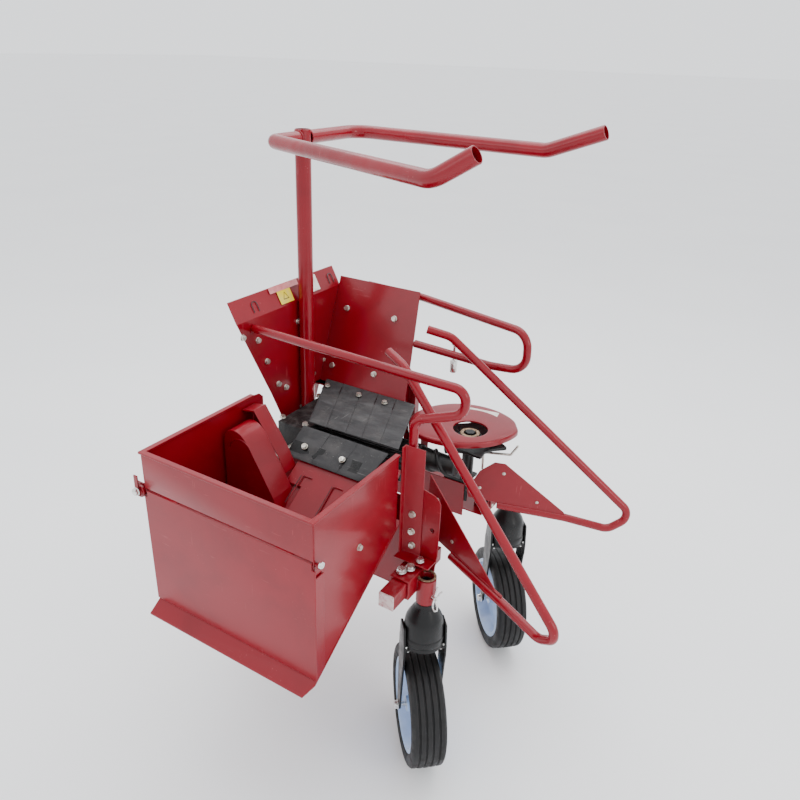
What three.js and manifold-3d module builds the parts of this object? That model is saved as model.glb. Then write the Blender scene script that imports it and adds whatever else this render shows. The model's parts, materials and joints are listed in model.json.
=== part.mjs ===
// Single-row corn ear picker head for a walking tractor: two divider snouts on swivel casters, a pair of snapping
// rollers under rubber flaps, a star wheel, and an ear box with a side door on the right.
// Millimetres. X points forward along the row, Y to the machine's left, Z up.
// Pieces are placed 13 ahead of the caster stems (x = 0), from the middle of the row (y = 0), with the wheels'
// axles at z = 130.5.
import * as THREE from "three";
import { mergeVertices } from "three/addons/utils/BufferGeometryUtils.js";
import Module from "manifold-3d";

const wasm = await Module();
wasm.setup();

// ---------- Driving dimensions ----------
const SHEET = 3;                 // sheet metal of walls, box and guards
const GAP = 0.3;                 // between pieces that touch
const RUN = 0.6;                 // radial clearance of what turns or slides

const WALL_Y = 200;              // outer face of the side frames from the row's middle
const CHANNEL_Y = 98;            // inner face of the side frames
const REAR_X = -577;             // front face of the rear wall
const SHELF_Z = 476;             // underside of the side frames' shelves

const BOX_LENGTH = 437;          // ear box along the row
const BOX_FRONT_X = -98;
const BOX_WIDTH = 309;           // across the row
const BOX_RIM_Z = 780;
const BOX_STRIP = 82;            // height of the fixed strip over the door
const BOX_FLOOR_Z = 406;         // floor at the door
const FLOOR_SLOPE = 0.673;       // rise of the floor towards the row
const LIP = 32;                  // floor beyond the door
const RIM_WIDTH = 12;
const RIM_THICK = 4;

const DOOR_GAP = 1;              // door flange to box panel
const DOOR_FLANGE = 24;
const HINGE_R = 4;
const HINGE_INSET = 5;           // hinge rod behind the door's inner face

const MAST_R = 19;
const RAIL_R = 16;
const TUBE_WALL = 2.5;
const GUARD_R = 10;
const MAST_X = -557;
const MAST_Y = 68;
const RAIL_Z = 1337;             // centre of the top rails

const WHEEL_R = 141.5;
const AXLE_Z = 130.5;            // the ground is a wheel's radius below
const GROUND_Z = AXLE_Z - WHEEL_R;
const RIM_WIDTH_INSET = 4;
const RIM_R = 108;
const TYRE_WIDTH = 80;
const STEM_R = 15;
const STEM_X = -13;
const STEM_Y = 227;
const CASTER_YAW = -49;          // degrees, rolling direction from forward
const SOCKET_WALL = 6;
const SOCKET_TOP_Z = 512;
const SOCKET_LENGTH = 63;

const AXLE_TUBE = 36;            // square tube that carries a caster bracket
const AXLE_TUBE_X = -50;
const SLEEVE_WALL = 5;
const SLEEVE = AXLE_TUBE + 2 * SLEEVE_WALL + 2 * RUN;
const AXLE_TUBE_Z = SHELF_Z + SHEET + GAP + SLEEVE / 2;

const ROLLER_R = 27;
const RIB = 5;
const ROLLER_Y = 38;
const ROLLER_Z = 625;
const ROLLER_REAR_X = -436;
const ROLLER_NOSE_X = -190;
const NEAR_TIP_X = -150;
const NEAR_TIP_R = 18;
const FAR_TIP_X = -86;
const FAR_TIP_R = 21;
const SHAFT_R = 9;
const KEY_FIT = 0.5;             // radial, between a shaft's flats and what is keyed to it
const CROSS_X = -478;            // cross shaft that carries the input pulley
const PULLEY_R = 36;

const STAR_X = -99;
const STAR_Y = 126;
const STAR_Z = 670;
const COVER_Z = 690;

// ---------- Helpers ----------
const v3 = (x, y, z) => new THREE.Vector3(x, y, z);
const rad = THREE.MathUtils.degToRad;

// A three.js geometry as a solid for joining and cutting.
function solid(geometry) {
  const g = geometry.clone();
  g.deleteAttribute("normal");
  g.deleteAttribute("uv");
  const m = mergeVertices(g, 1e-4);
  return new wasm.Manifold(
    new wasm.Mesh({
      numProp: 3,
      vertProperties: m.attributes.position.array,
      triVerts: new Uint32Array(m.index.array),
    }),
  );
}

// A solid back as a three.js geometry.
function geometryOf(body) {
  const mesh = body.getMesh();
  const positions = new Float32Array(mesh.numVert * 3);
  for (let i = 0; i < mesh.numVert; i++) {
    for (let k = 0; k < 3; k++) positions[3 * i + k] = mesh.vertProperties[mesh.numProp * i + k];
  }
  const g = new THREE.BufferGeometry();
  g.setAttribute("position", new THREE.BufferAttribute(positions, 3));
  g.setIndex(Array.from(mesh.triVerts));
  return g.toNonIndexed();
}

const join = (...parts) => geometryOf(parts.map(solid).reduce((a, b) => a.add(b)));
const cut = (from, ...tools) => geometryOf(tools.map(solid).reduce((a, b) => a.subtract(b), solid(from)));

// A box between two opposite corners.
function block(x0, y0, z0, x1, y1, z1) {
  const g = new THREE.BoxGeometry(Math.abs(x1 - x0), Math.abs(y1 - y0), Math.abs(z1 - z0));
  return g.translate((x0 + x1) / 2, (y0 + y1) / 2, (z0 + z1) / 2);
}

// A cylinder or cone between two points.
function rod(a, b, r, sides = 16, rEnd = r) {
  const length = a.distanceTo(b);
  const g = new THREE.CylinderGeometry(rEnd, r, length, sides);
  const turn = new THREE.Quaternion().setFromUnitVectors(v3(0, 1, 0), b.clone().sub(a).normalize());
  return g.applyQuaternion(turn).translate(...a.clone().add(b).multiplyScalar(0.5).toArray());
}

// A flat plate: a planar outline of 3-D points, thickened along the normal of its first corner.
function plate(points, thickness, holes = []) {
  const x = points[1].clone().sub(points[0]).normalize();
  const n = new THREE.Vector3().crossVectors(x, points[2].clone().sub(points[1])).normalize();
  const y = new THREE.Vector3().crossVectors(n, x);
  const flat = (p) => {
    const d = p.clone().sub(points[0]);
    return new THREE.Vector2(d.dot(x), d.dot(y));
  };
  const shape = new THREE.Shape(points.map(flat));
  for (const [centre, r] of holes) {
    const c = flat(centre);
    shape.holes.push(new THREE.Path().absarc(c.x, c.y, r, 0, 2 * Math.PI, true));
  }
  const g = new THREE.ExtrudeGeometry(shape, { depth: thickness, bevelEnabled: false, curveSegments: 6 });
  return g.applyMatrix4(new THREE.Matrix4().makeBasis(x, y, n).setPosition(points[0]));
}

// A plate standing in the row's direction: outline of [x, z] pairs between two values of y.
const sidePlate = (outline, y0, y1, holes = []) =>
  prism(outline, holes, y1 - y0).applyMatrix4(
    new THREE.Matrix4().set(1, 0, 0, 0, 0, 0, -1, y1, 0, 1, 0, 0, 0, 0, 0, 1));

// A plate standing across the row: outline of [y, z] pairs between two values of x.
const crossPlate = (outline, x0, x1, holes = []) =>
  prism(outline, holes, x1 - x0).applyMatrix4(
    new THREE.Matrix4().set(0, 0, 1, x0, 1, 0, 0, 0, 0, 1, 0, 0, 0, 0, 0, 1));

function prism(outline, holes, depth) {
  const shape = new THREE.Shape(outline.map(([a, b]) => new THREE.Vector2(a, b)));
  for (const [a, b, r] of holes) shape.holes.push(new THREE.Path().absarc(a, b, r, 0, 2 * Math.PI, true));
  return new THREE.ExtrudeGeometry(shape, { depth, bevelEnabled: false, curveSegments: 6 });
}

// A bent tube's centre line: straight runs with round corners. Straight runs take one step each.
class BentPath extends THREE.Curve {
  constructor(corners, bendR, perBend = 3) {
    super();
    this.knots = [{ p: corners[0], t: corners[1].clone().sub(corners[0]).normalize() }];
    for (let i = 1; i < corners.length - 1; i++) this.addBend(corners, i, bendR, perBend);
    const [a, b] = corners.slice(-2);
    this.knots.push({ p: b, t: b.clone().sub(a).normalize() });
  }
  addBend(corners, i, bendR, perBend) {
    const before = corners[i].clone().sub(corners[i - 1]);
    const after = corners[i + 1].clone().sub(corners[i]);
    const half = before.angleTo(after) / 2;
    const r = Array.isArray(bendR) ? bendR[i - 1] : bendR;
    const back = Math.min(r * Math.tan(half), before.length() * 0.49, after.length() * 0.49);
    const t0 = before.normalize();
    const t1 = after.normalize();
    const radius = back / Math.tan(half);
    const start = corners[i].clone().addScaledVector(t0, -back);
    const inward = t1.clone().addScaledVector(t0, -t0.dot(t1)).normalize();
    const steps = half < 0.03 || r < 1 ? 0 : perBend;
    if (steps === 0) this.knots.push({ p: corners[i], t: t0.clone().add(t1).normalize() });
    for (let k = 0; steps && k <= steps; k++) {
      const a = (2 * half * k) / steps;
      this.knots.push({
        p: start.clone().addScaledVector(t0, radius * Math.sin(a)).addScaledVector(inward, radius * (1 - Math.cos(a))),
        t: t0.clone().multiplyScalar(Math.cos(a)).addScaledVector(inward, Math.sin(a)),
      });
    }
  }
  knot(u) {
    return this.knots[Math.round(u * (this.knots.length - 1))];
  }
  getPointAt(u) {
    return this.knot(u).p.clone();
  }
  getPoint(u) {
    return this.getPointAt(u);
  }
  getTangentAt(u) {
    return this.knot(u).t.clone();
  }
  getTangent(u) {
    return this.getTangentAt(u);
  }
}

// A tube, or a solid rod when wall is 0, along a bent path.
function bentTube(corners, r, bendR, wall = TUBE_WALL, sides = 10) {
  const path = new BentPath(corners, bendR);
  const ring = (radius) =>
    Array.from({ length: sides }, (_, i) => {
      const a = (2 * Math.PI * i) / sides;
      return new THREE.Vector2(radius * Math.cos(a), radius * Math.sin(a));
    });
  const shape = new THREE.Shape(ring(r));
  if (wall > 0) shape.holes.push(new THREE.Path(ring(r - wall).reverse()));
  return new THREE.ExtrudeGeometry(shape, {
    steps: path.knots.length - 1,
    extrudePath: path,
    bevelEnabled: false,
  });
}

// A turned ring from a closed [radius, height] outline, about the Z axis.
function turned(outline, segments = 24) {
  const points = [...outline, outline[0]].map(([r, z]) => new THREE.Vector2(r, z));
  return new THREE.LatheGeometry(points, segments).rotateX(Math.PI / 2);
}

const PAINT = { color: 0xa3121f, roughness: 0.28, metalness: 0.1 };
const BLACK = { color: 0x151515, roughness: 0.45, metalness: 0.1 };
const ZINC = { color: 0xb9bcc0, roughness: 0.35, metalness: 0.9 };
const RUBBER = { color: 0x2b2b2c, roughness: 0.85, metalness: 0 };
const TYRE = { color: 0x1c1c1c, roughness: 0.8, metalness: 0 };
const BLUE = { color: 0x9db7d6, roughness: 0.4, metalness: 0.2 };
const CAST = { color: 0x3a3a3a, roughness: 0.6, metalness: 0.6 };

const root = new THREE.Group();
function add(name, geometry, finish, group = root) {
  const mesh = new THREE.Mesh(geometry, new THREE.MeshStandardMaterial(finish));
  mesh.name = name;
  group.add(mesh);
  return mesh;
}

// ---------- Side frames, uprights and dividers ----------
const sleeveHole = (y0, y1) =>
  block(
    AXLE_TUBE_X - SLEEVE / 2 - GAP, y0, AXLE_TUBE_Z - SLEEVE / 2 - GAP,
    AXLE_TUBE_X + SLEEVE / 2 + GAP, y1, AXLE_TUBE_Z + SLEEVE / 2 + GAP);
const FRAME_REAR_X = REAR_X + GAP;
const INNER_END_X = -90;         // inner walls end where the divider plates begin
const FRAME_TOP_Z = 600;
const SHELF_TOP_Z = SHELF_Z + SHEET;
const SOCKET_R = STEM_R + RUN + SOCKET_WALL;
const SHELF_FRONT_X = STEM_X - SOCKET_R - 2.4;
const SHELF_LIP_FRONT_X = SHELF_FRONT_X - 16;
const SHELF_FAR_Y = 245;

function nearSideFrame() {
  const outline = [
    [FRAME_REAR_X, 440], [-110, 430], [-32, 446], [-15, 480], [-5, 553], [-5, 682], [-10, 692],
    [-20, 700], [-46, 706], [-92, 706], [-92, FRAME_TOP_Z], [FRAME_REAR_X, FRAME_TOP_Z],
  ];
  const outer = sidePlate(outline, -WALL_Y, -WALL_Y + SHEET, [[-22, 612, 6]]);
  const shelf = block(FRAME_REAR_X, -WALL_Y + 1, SHELF_Z, INNER_END_X, -CHANNEL_Y, SHELF_TOP_Z);
  const inner = block(FRAME_REAR_X, -CHANNEL_Y - SHEET, SHELF_Z, INNER_END_X, -CHANNEL_Y, FRAME_TOP_Z);
  return cut(join(outer, shelf, inner), sleeveHole(-WALL_Y - 50, -WALL_Y + 60));
}

function farSideFrame() {
  const inner = block(FRAME_REAR_X, CHANNEL_Y, SHELF_Z - 20, INNER_END_X, CHANNEL_Y + SHEET, 550);
  const shelf = block(FRAME_REAR_X, CHANNEL_Y, SHELF_Z, SHELF_FRONT_X, SHELF_FAR_Y, SHELF_TOP_Z);
  const lip = block(-330, SHELF_FAR_Y - SHEET, SHELF_Z - 14, SHELF_LIP_FRONT_X, SHELF_FAR_Y, SHELF_Z + 1);
  return join(inner, shelf, lip);
}

const UPRIGHT_X0 = -94;
const UPRIGHT_X1 = -46;
const UPRIGHT_TOP_Z = 800;
const FAR_UPRIGHT_X = -318;
const FAR_UPRIGHT_TOP_Z = 755;
function nearUpright() {
  const outer = -WALL_Y - GAP;
  const web = block(UPRIGHT_X0, outer - SHEET, 535, UPRIGHT_X1, outer, UPRIGHT_TOP_Z);
  const flange = block(UPRIGHT_X0, outer - 16, 535, UPRIGHT_X0 + SHEET, outer, UPRIGHT_TOP_Z);
  const foot = block(UPRIGHT_X0, outer - 34, 535, -8, outer, 535 + SHEET);
  return join(web, flange, foot);
}

function farUpright() {
  const z0 = SHELF_TOP_Z + GAP;
  const x0 = FAR_UPRIGHT_X;
  const x1 = x0 + 31;
  const top = FAR_UPRIGHT_TOP_Z;
  const web = block(x0, 197, z0, x1, 200, top);
  const back = block(x0, 178, z0, x0 + SHEET, 200, top);
  const front = block(x1 - SHEET, 178, z0, x1, 200, top);
  return join(web, back, front);
}

// Divider plates stand on the hoops' lower legs; "along" runs back from the nose, "height" up from the leg.
const NOSE = [130, 182, 500];
const HEEL = [-15, 122, 514];
function dividerPoint(side, along, height) {
  const f = v3(NOSE[0], side * NOSE[1], NOSE[2]);
  const e = v3(HEEL[0], side * HEEL[1], HEEL[2]).sub(f).normalize();
  const out = new THREE.Vector3().crossVectors(e, v3(0, 0, 1)).normalize();
  const up = new THREE.Vector3().crossVectors(e, out).normalize();
  if (up.z < 0) up.negate();
  return f.addScaledVector(e, along).addScaledVector(up, height);
}
const dividerPlate = (side, outline) =>
  plate(outline.map(([a, h]) => dividerPoint(side, a, h)), SHEET);

const FAR_DIVIDER = [[-20, 0], [-14, 8], [150, 113], [176, 112], [208, 81], [231, 20], [224, 0]];
const LEG_DROP = GUARD_R + GAP + 1;
function gatheringHoop(side) {
  const leg = (a) => dividerPoint(side, a, -LEG_DROP);
  const corners = [
    v3(-213, side * 86, 936), v3(-160, side * 108, 922), v3(-98, side * 129, 866),
    v3(295, side * 254, 512), v3(246, side * 227, 470), leg(-20), leg(150),
  ];
  return bentTube(corners, GUARD_R, [50, 90, 34, 34, 80]);
}

// ---------- Guard tubes beside the intake ----------
function nearGuardTube() {
  const corners = [
    v3(REAR_X + GAP + 2, -112, 918), v3(-127, -180, 942), v3(22, -176, 938), v3(18, -172, 884), v3(-84, -188, 850),
    v3(-81, -190, 722),
  ];
  return bentTube(corners, GUARD_R, [200, 30, 30, 26]);
}

function farGuardTube() {
  const corners = [
    v3(-500, 270, 948), v3(-330, 268, 945), v3(-2, 190, 940), v3(2, 190, 846), v3(-90, 190, 838),
    v3(-299, 183, 850),
  ];
  return bentTube(corners, GUARD_R, [120, 40, 40, 120]);
}

// ---------- Casters ----------
const SOCKET_Z0 = SOCKET_TOP_Z - SOCKET_LENGTH;
const LOCK_Z = SOCKET_Z0 + SOCKET_LENGTH / 3;
const LOCK_R = 4;
const LOCK_YAW = rad(20);

function lockPin(side, clearance) {
  const reach = v3(Math.cos(LOCK_YAW), -Math.sin(LOCK_YAW), 0).multiplyScalar(SOCKET_R + 10);
  const centre = v3(STEM_X, side * STEM_Y, LOCK_Z);
  return rod(centre.clone().sub(reach), centre.clone().add(reach), LOCK_R + clearance, 8);
}

function casterBracket(side) {
  const half = SLEEVE / 2;
  const y0 = side < 0 ? -281 : 130;
  const y1 = side < 0 ? -163 : 236;
  const sleeve = block(AXLE_TUBE_X - half, y0, AXLE_TUBE_Z - half, AXLE_TUBE_X + half, y1, AXLE_TUBE_Z + half);
  const half2 = AXLE_TUBE / 2 + RUN;
  const bore = block(
    AXLE_TUBE_X - half2, y0 - 9, AXLE_TUBE_Z - half2, AXLE_TUBE_X + half2, y1 + 9, AXLE_TUBE_Z + half2);
  const y = side * STEM_Y;
  const socket = rod(v3(STEM_X, y, SOCKET_Z0), v3(STEM_X, y, SOCKET_TOP_Z), SOCKET_R, 20);
  const web = block(AXLE_TUBE_X + half - 1, y - 9, SOCKET_Z0 + 20, STEM_X, y + 9, SOCKET_TOP_Z - 6);
  const stemBore = rod(v3(STEM_X, y, SOCKET_Z0 - 9), v3(STEM_X, y, SOCKET_TOP_Z + 9), STEM_R + RUN, 20);
  return cut(join(sleeve, socket, web), bore, stemBore, lockPin(side, GAP));
}

const DOME_TOP_Z = SOCKET_Z0 - 5;
const DOME_Z = 342;
const DOME_R = 47;
function casterStem(side) {
  const y = side * STEM_Y;
  const outer = rod(v3(STEM_X, y, DOME_Z - 4), v3(STEM_X, y, SOCKET_TOP_Z - 14), STEM_R, 20);
  const inner = rod(v3(STEM_X, y, DOME_Z - 8), v3(STEM_X, y, SOCKET_TOP_Z - 4), STEM_R - 4, 20);
  return cut(outer, inner, lockPin(side, GAP));
}

const LEG_IN = TYRE_WIDTH / 2 + 4;
const LEG_T = 5;
const CROWN_Z = 326;
const CROWN_T = 6;
const LEG_TOP_Z = 384;
const TRAIL = 6;                 // axle behind the stem
const AXLE_R = 6;

// In the caster's own frame X is the rolling direction, Y the axle, and the stem is at the origin.
function casterFork() {
  const dome = turned([
    [STEM_R + RUN, CROWN_Z + 1], [DOME_R, CROWN_Z + 1], [DOME_R, DOME_Z + 14], [DOME_R - 1, DOME_Z + 36],
    [DOME_R - 5, DOME_Z + 58], [DOME_R - 13, DOME_Z + 72], [27, DOME_Z + 84], [22.5, DOME_Z + 92],
    [20.5, DOME_TOP_Z], [STEM_R + RUN, DOME_TOP_Z],
  ], 20);
  const crown = block(-28, -LEG_IN - LEG_T, CROWN_Z, 28, LEG_IN + LEG_T, CROWN_Z + CROWN_T);
  const crownCut = rod(v3(0, 0, CROWN_Z - 5), v3(0, 0, CROWN_Z + 20), STEM_R + RUN, 20);
  const leg = (y0) =>
    sidePlate([
      [-TRAIL - 13, AXLE_Z + 3], [-TRAIL - 9, AXLE_Z - 10], [-TRAIL + 9, AXLE_Z - 10], [-TRAIL + 13, AXLE_Z + 3],
      [26, CROWN_Z - 30], [28, CROWN_Z + 3], [19, LEG_TOP_Z], [-19, LEG_TOP_Z], [-28, CROWN_Z + 3], [-28, CROWN_Z - 30],
    ], y0, y0 + LEG_T, [[-TRAIL, AXLE_Z, AXLE_R + GAP]]);
  return cut(join(dome, crown, leg(LEG_IN), leg(-LEG_IN - LEG_T)), crownCut);
}

const HUB_IN = AXLE_R + RUN;
const WHEEL_SIDES = 32;
function wheelRim() {
  const w = TYRE_WIDTH / 2 - RIM_WIDTH_INSET;
  return turned([
    [HUB_IN, -30], [18, -30], [20, -6], [RIM_R - 18, -6], [RIM_R - 12, -w], [RIM_R, -w],
    [RIM_R - 8, -w + 8], [RIM_R - 8, w - 8], [RIM_R, w], [RIM_R - 12, w], [RIM_R - 18, 0],
    [20, 0], [18, 30], [HUB_IN, 30],
  ], WHEEL_SIDES).rotateX(Math.PI / 2);
}

function wheelTyre() {
  const w = TYRE_WIDTH / 2;
  const inner = RIM_R - 8 + GAP;
  return turned([
    [inner, -w + 13.2], [RIM_R + GAP, -w + 4.8], [RIM_R + 8, -w], [WHEEL_R - 8, -w + 0.6], [WHEEL_R - 3, -w + 3.5],
    [WHEEL_R - 1, -w + 6], [WHEEL_R, 0], [WHEEL_R - 1, w - 6], [WHEEL_R - 3, w - 3.5], [WHEEL_R - 8, w - 0.6],
    [RIM_R + 8, w], [RIM_R + GAP, w - 4.8],
    [inner, w - 13.2],
  ], WHEEL_SIDES).rotateX(Math.PI / 2);
}

function axleBolt() {
  const tip = LEG_IN + LEG_T + GAP;
  const shank = rod(v3(0, -tip - 8, 0), v3(0, tip + 10, 0), AXLE_R, 12);
  const head = rod(v3(0, -tip - 8, 0), v3(0, -tip, 0), 10, 6);
  const nut = rod(v3(0, tip, 0), v3(0, tip + 8, 0), 10, 6);
  return join(shank, head, nut);
}

function addCaster(label, side) {
  const caster = new THREE.Group();
  caster.position.set(STEM_X, side * STEM_Y, 0);
  caster.rotation.z = rad(CASTER_YAW);
  root.add(caster);
  const wheel = new THREE.Group();
  wheel.position.set(-TRAIL, 0, AXLE_Z);
  caster.add(wheel);
  add(`${label}_caster_fork`, casterFork(), BLACK, caster);
  add(`${label}_axle_bolt`, axleBolt(), ZINC, wheel);
  add(`${label}_rim`, wheelRim(), BLUE, wheel);
  add(`${label}_tyre`, wheelTyre(), TYRE, wheel);
  add(`${label}_caster_bracket`, casterBracket(side), PAINT);
  add(`${label}_stem`, casterStem(side), BLACK);
  add(`${label}_lock_pin`, lockPin(side, 0), ZINC);
}

function axleTube(y0, y1) {
  const h = AXLE_TUBE / 2;
  const inner = h - 3;
  return cut(
    block(AXLE_TUBE_X - h, y0, AXLE_TUBE_Z - h, AXLE_TUBE_X + h, y1, AXLE_TUBE_Z + h),
    block(AXLE_TUBE_X - inner, y0 - 9, AXLE_TUBE_Z - inner, AXLE_TUBE_X + inner, y1 + 9, AXLE_TUBE_Z + inner));
}

// ---------- Ear box, door and latch ----------
const BOX_X0 = BOX_FRONT_X - BOX_LENGTH;
const BOX_X1 = BOX_FRONT_X;
const BOX_Y0 = -WALL_Y - BOX_WIDTH;
const BOX_FAR_Y = -WALL_Y - SHEET - 2 * GAP;
const floorZ = (y) => BOX_FLOOR_Z + FLOOR_SLOPE * (y - BOX_Y0);
const REAR_RIM_Y = -176;         // the rear wall's rim ends here, and the wall's corner is cut off
const HINGE_Y = BOX_Y0 + HINGE_INSET;
const HINGE_Z = BOX_RIM_Z - BOX_STRIP - 10;

function earBoxBody() {
  const frontFar = -WALL_Y - 20;
  const front = crossPlate([
    [BOX_Y0, floorZ(BOX_Y0) - 1], [frontFar, floorZ(frontFar) - 1], [frontFar, BOX_RIM_Z], [BOX_Y0, BOX_RIM_Z],
  ], BOX_X1 - SHEET, BOX_X1);
  const rearFar = -139;
  const rear = crossPlate([
    [BOX_Y0, floorZ(BOX_Y0) - 1], [BOX_FAR_Y, floorZ(BOX_FAR_Y) - 1], [rearFar, floorZ(rearFar) - 1],
    [rearFar, BOX_RIM_Z - 14], [rearFar - 12, BOX_RIM_Z - 3], [REAR_RIM_Y, BOX_RIM_Z], [BOX_Y0, BOX_RIM_Z],
  ], BOX_X0, BOX_X0 + SHEET);
  const strip = block(BOX_X0, BOX_Y0 - SHEET, BOX_RIM_Z - BOX_STRIP, BOX_X1, BOX_Y0, BOX_RIM_Z);
  const stripLap = block(BOX_X0, BOX_Y0 - 0.5, BOX_RIM_Z - 24, BOX_X1, BOX_Y0 + SHEET, BOX_RIM_Z);
  const lipCut = plate([
    v3(BOX_X1 + 3, BOX_Y0 - 4, 0), v3(BOX_X1 + 3, BOX_Y0 - LIP - 9, 0), v3(BOX_X1 - 16, BOX_Y0 - LIP - 9, 0),
  ].reverse(), BOX_RIM_Z / 2 + BOX_FLOOR_Z / 2);
  const floorPlate = crossPlate([
    [BOX_Y0 - LIP, floorZ(BOX_Y0 - LIP)], [BOX_FAR_Y, floorZ(BOX_FAR_Y)],
    [BOX_FAR_Y, floorZ(BOX_FAR_Y) - SHEET * 1.2], [BOX_Y0 - LIP, floorZ(BOX_Y0 - LIP) - SHEET * 1.2],
  ], BOX_X0 - 2, BOX_X1 + 2);
  const rims = [
    block(
      BOX_X0 - 4, BOX_Y0 - SHEET - 3, BOX_RIM_Z - 1, BOX_X1 + 4, BOX_Y0 - SHEET - 3 + RIM_WIDTH,
      BOX_RIM_Z + RIM_THICK),
    block(BOX_X1 + 4 - RIM_WIDTH, BOX_Y0, BOX_RIM_Z - 1, BOX_X1 + 4, frontFar, BOX_RIM_Z + RIM_THICK),
    block(BOX_X0 - 4, BOX_Y0, BOX_RIM_Z - 1, BOX_X0 - 4 + RIM_WIDTH, REAR_RIM_Y, BOX_RIM_Z + RIM_THICK),
  ];
  const ear = block(BOX_X0 - 34, BOX_Y0 + 6, LATCH_Z - 17, BOX_X0 + 1, BOX_Y0 + 6 + SHEET, LATCH_Z + 17);
  const rodHole = rod(v3(BOX_X0 - 9, HINGE_Y, HINGE_Z), v3(BOX_X1 + 9, HINGE_Y, HINGE_Z), HINGE_R + GAP, 12);
  const body = join(front, rear, strip, stripLap, floorPlate, ...rims, ear);
  return cut(body, rodHole, latchBolt(GAP), lipCut);
}

const LATCH_X = BOX_X0 - 19;
const LATCH_Z = HINGE_Z - 6;
const latchBolt = (clearance) =>
  rod(v3(LATCH_X, BOX_Y0 - 4, LATCH_Z), v3(LATCH_X, BOX_Y0 + 16, LATCH_Z), 4 + clearance, 12);

function doorLatch() {
  const disc = rod(v3(LATCH_X, BOX_Y0 - 3, LATCH_Z), v3(LATCH_X, BOX_Y0 + 5, LATCH_Z), 14, 20);
  const boss = rod(v3(LATCH_X, BOX_Y0 - 8, LATCH_Z), v3(LATCH_X, BOX_Y0 - 2, LATCH_Z), 8, 12);
  const arm = block(LATCH_X - 6, BOX_Y0 - 9, LATCH_Z - 6, LATCH_X + 6, BOX_Y0 - 6, LATCH_Z + 42);
  return join(disc, boss, arm, latchBolt(0));
}

const DOOR_BOTTOM_Z = BOX_FLOOR_Z + 2;
function earBoxDoor() {
  const outer = BOX_Y0 - SHEET;
  const top = BOX_RIM_Z - BOX_STRIP - 6;
  const flangeTop = LATCH_Z - 22;
  const x0 = BOX_X0 - DOOR_GAP - SHEET;
  const x1 = BOX_X1 + DOOR_GAP + SHEET;
  const low = floorZ(BOX_Y0 + DOOR_FLANGE) + 4;
  const panel = block(x0, outer, DOOR_BOTTOM_Z, x1, BOX_Y0, top);
  const side = (x) =>
    sidePlateAcross([[BOX_Y0 - 1, DOOR_BOTTOM_Z + 2], [BOX_Y0 + DOOR_FLANGE, low], [BOX_Y0 + DOOR_FLANGE, flangeTop],
      [BOX_Y0 - 1, flangeTop]], x);
  const knuckle = (x) => {
    const ring = rod(v3(x, HINGE_Y, HINGE_Z), v3(x + 40, HINGE_Y, HINGE_Z), HINGE_R + 3.2, 12);
    const leaf = block(x, BOX_Y0 - 1, HINGE_Z - 24, x + 40, BOX_Y0 + 2.4, HINGE_Z - 1);
    return [ring, leaf];
  };
  const knuckles = [...knuckle(BOX_X0 + 50), ...knuckle(BOX_X1 - 90)];
  const bore = rod(v3(x0 - 9, HINGE_Y, HINGE_Z), v3(x1 + 9, HINGE_Y, HINGE_Z), HINGE_R + GAP, 12);
  const corner = (xa, xb) => block(xa, outer - 9, HINGE_Z - 11, xb, BOX_Y0 + 1, HINGE_Z + 9);
  const corners = [corner(x0 - 9, BOX_X0 + SHEET + DOOR_GAP), corner(BOX_X1 - SHEET - DOOR_GAP, x1 + 9)];
  return cut(join(panel, side(x0), side(x1 - SHEET), ...knuckles), bore, ...corners);
}
const sidePlateAcross = (outline, x) => crossPlate(outline, x, x + SHEET);

function hingeRod() {
  const shank = rod(v3(BOX_X0 - 0.5, HINGE_Y, HINGE_Z), v3(BOX_X1 + 9, HINGE_Y, HINGE_Z), HINGE_R, 12);
  const end = rod(v3(BOX_X1 + 5, HINGE_Y, HINGE_Z), v3(BOX_X1 + 10, HINGE_Y, HINGE_Z), 6.5, 6);
  return join(shank, end);
}

// ---------- Chute cover, guards and flaps ----------
const COVER_X0 = -403;
const COVER_X1 = -150;
const COVER_RISE = 8;
const COVER_STEP_X = -358;       // the cover steps in beside the belt guard
function chuteCover() {
  const y0 = -330;
  const y1 = -120;
  const rise = (y, up) => floorZ(y) + up;
  const top = crossPlate([
    [y0, rise(y0, COVER_RISE)], [y1, rise(y1, COVER_RISE)],
    [y1, rise(y1, COVER_RISE + SHEET)], [y0, rise(y0, COVER_RISE + SHEET)],
  ], COVER_X0, COVER_X1);
  const skirt = (x, yEnd) =>
    crossPlate([
      [y0, rise(y0, GAP)], [yEnd, rise(yEnd, GAP)], [yEnd, rise(yEnd, COVER_RISE + 1)], [y0, rise(y0, COVER_RISE + 1)],
    ], x, x + SHEET);
  const foot = crossPlate([
    [y0, rise(y0, GAP)], [y0 + SHEET, rise(y0 + SHEET, GAP)], [y0 + SHEET, rise(y0, COVER_RISE + 3)],
    [y0, rise(y0, COVER_RISE + 2)],
  ], COVER_X0, COVER_X1);
  const guardNotch = block(COVER_X0 - 9, y0 - 9, 0, COVER_STEP_X, GUARD_Y1 + 3, BOX_RIM_Z);
  const whole = join(top, skirt(COVER_X0, y1), skirt(COVER_X1 - SHEET, y1), foot);
  return join(cut(whole, guardNotch), skirt(COVER_STEP_X, GUARD_Y1 + 4));
}

const GUARD_Y0 = -288;
const GUARD_Y1 = -222;
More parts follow.
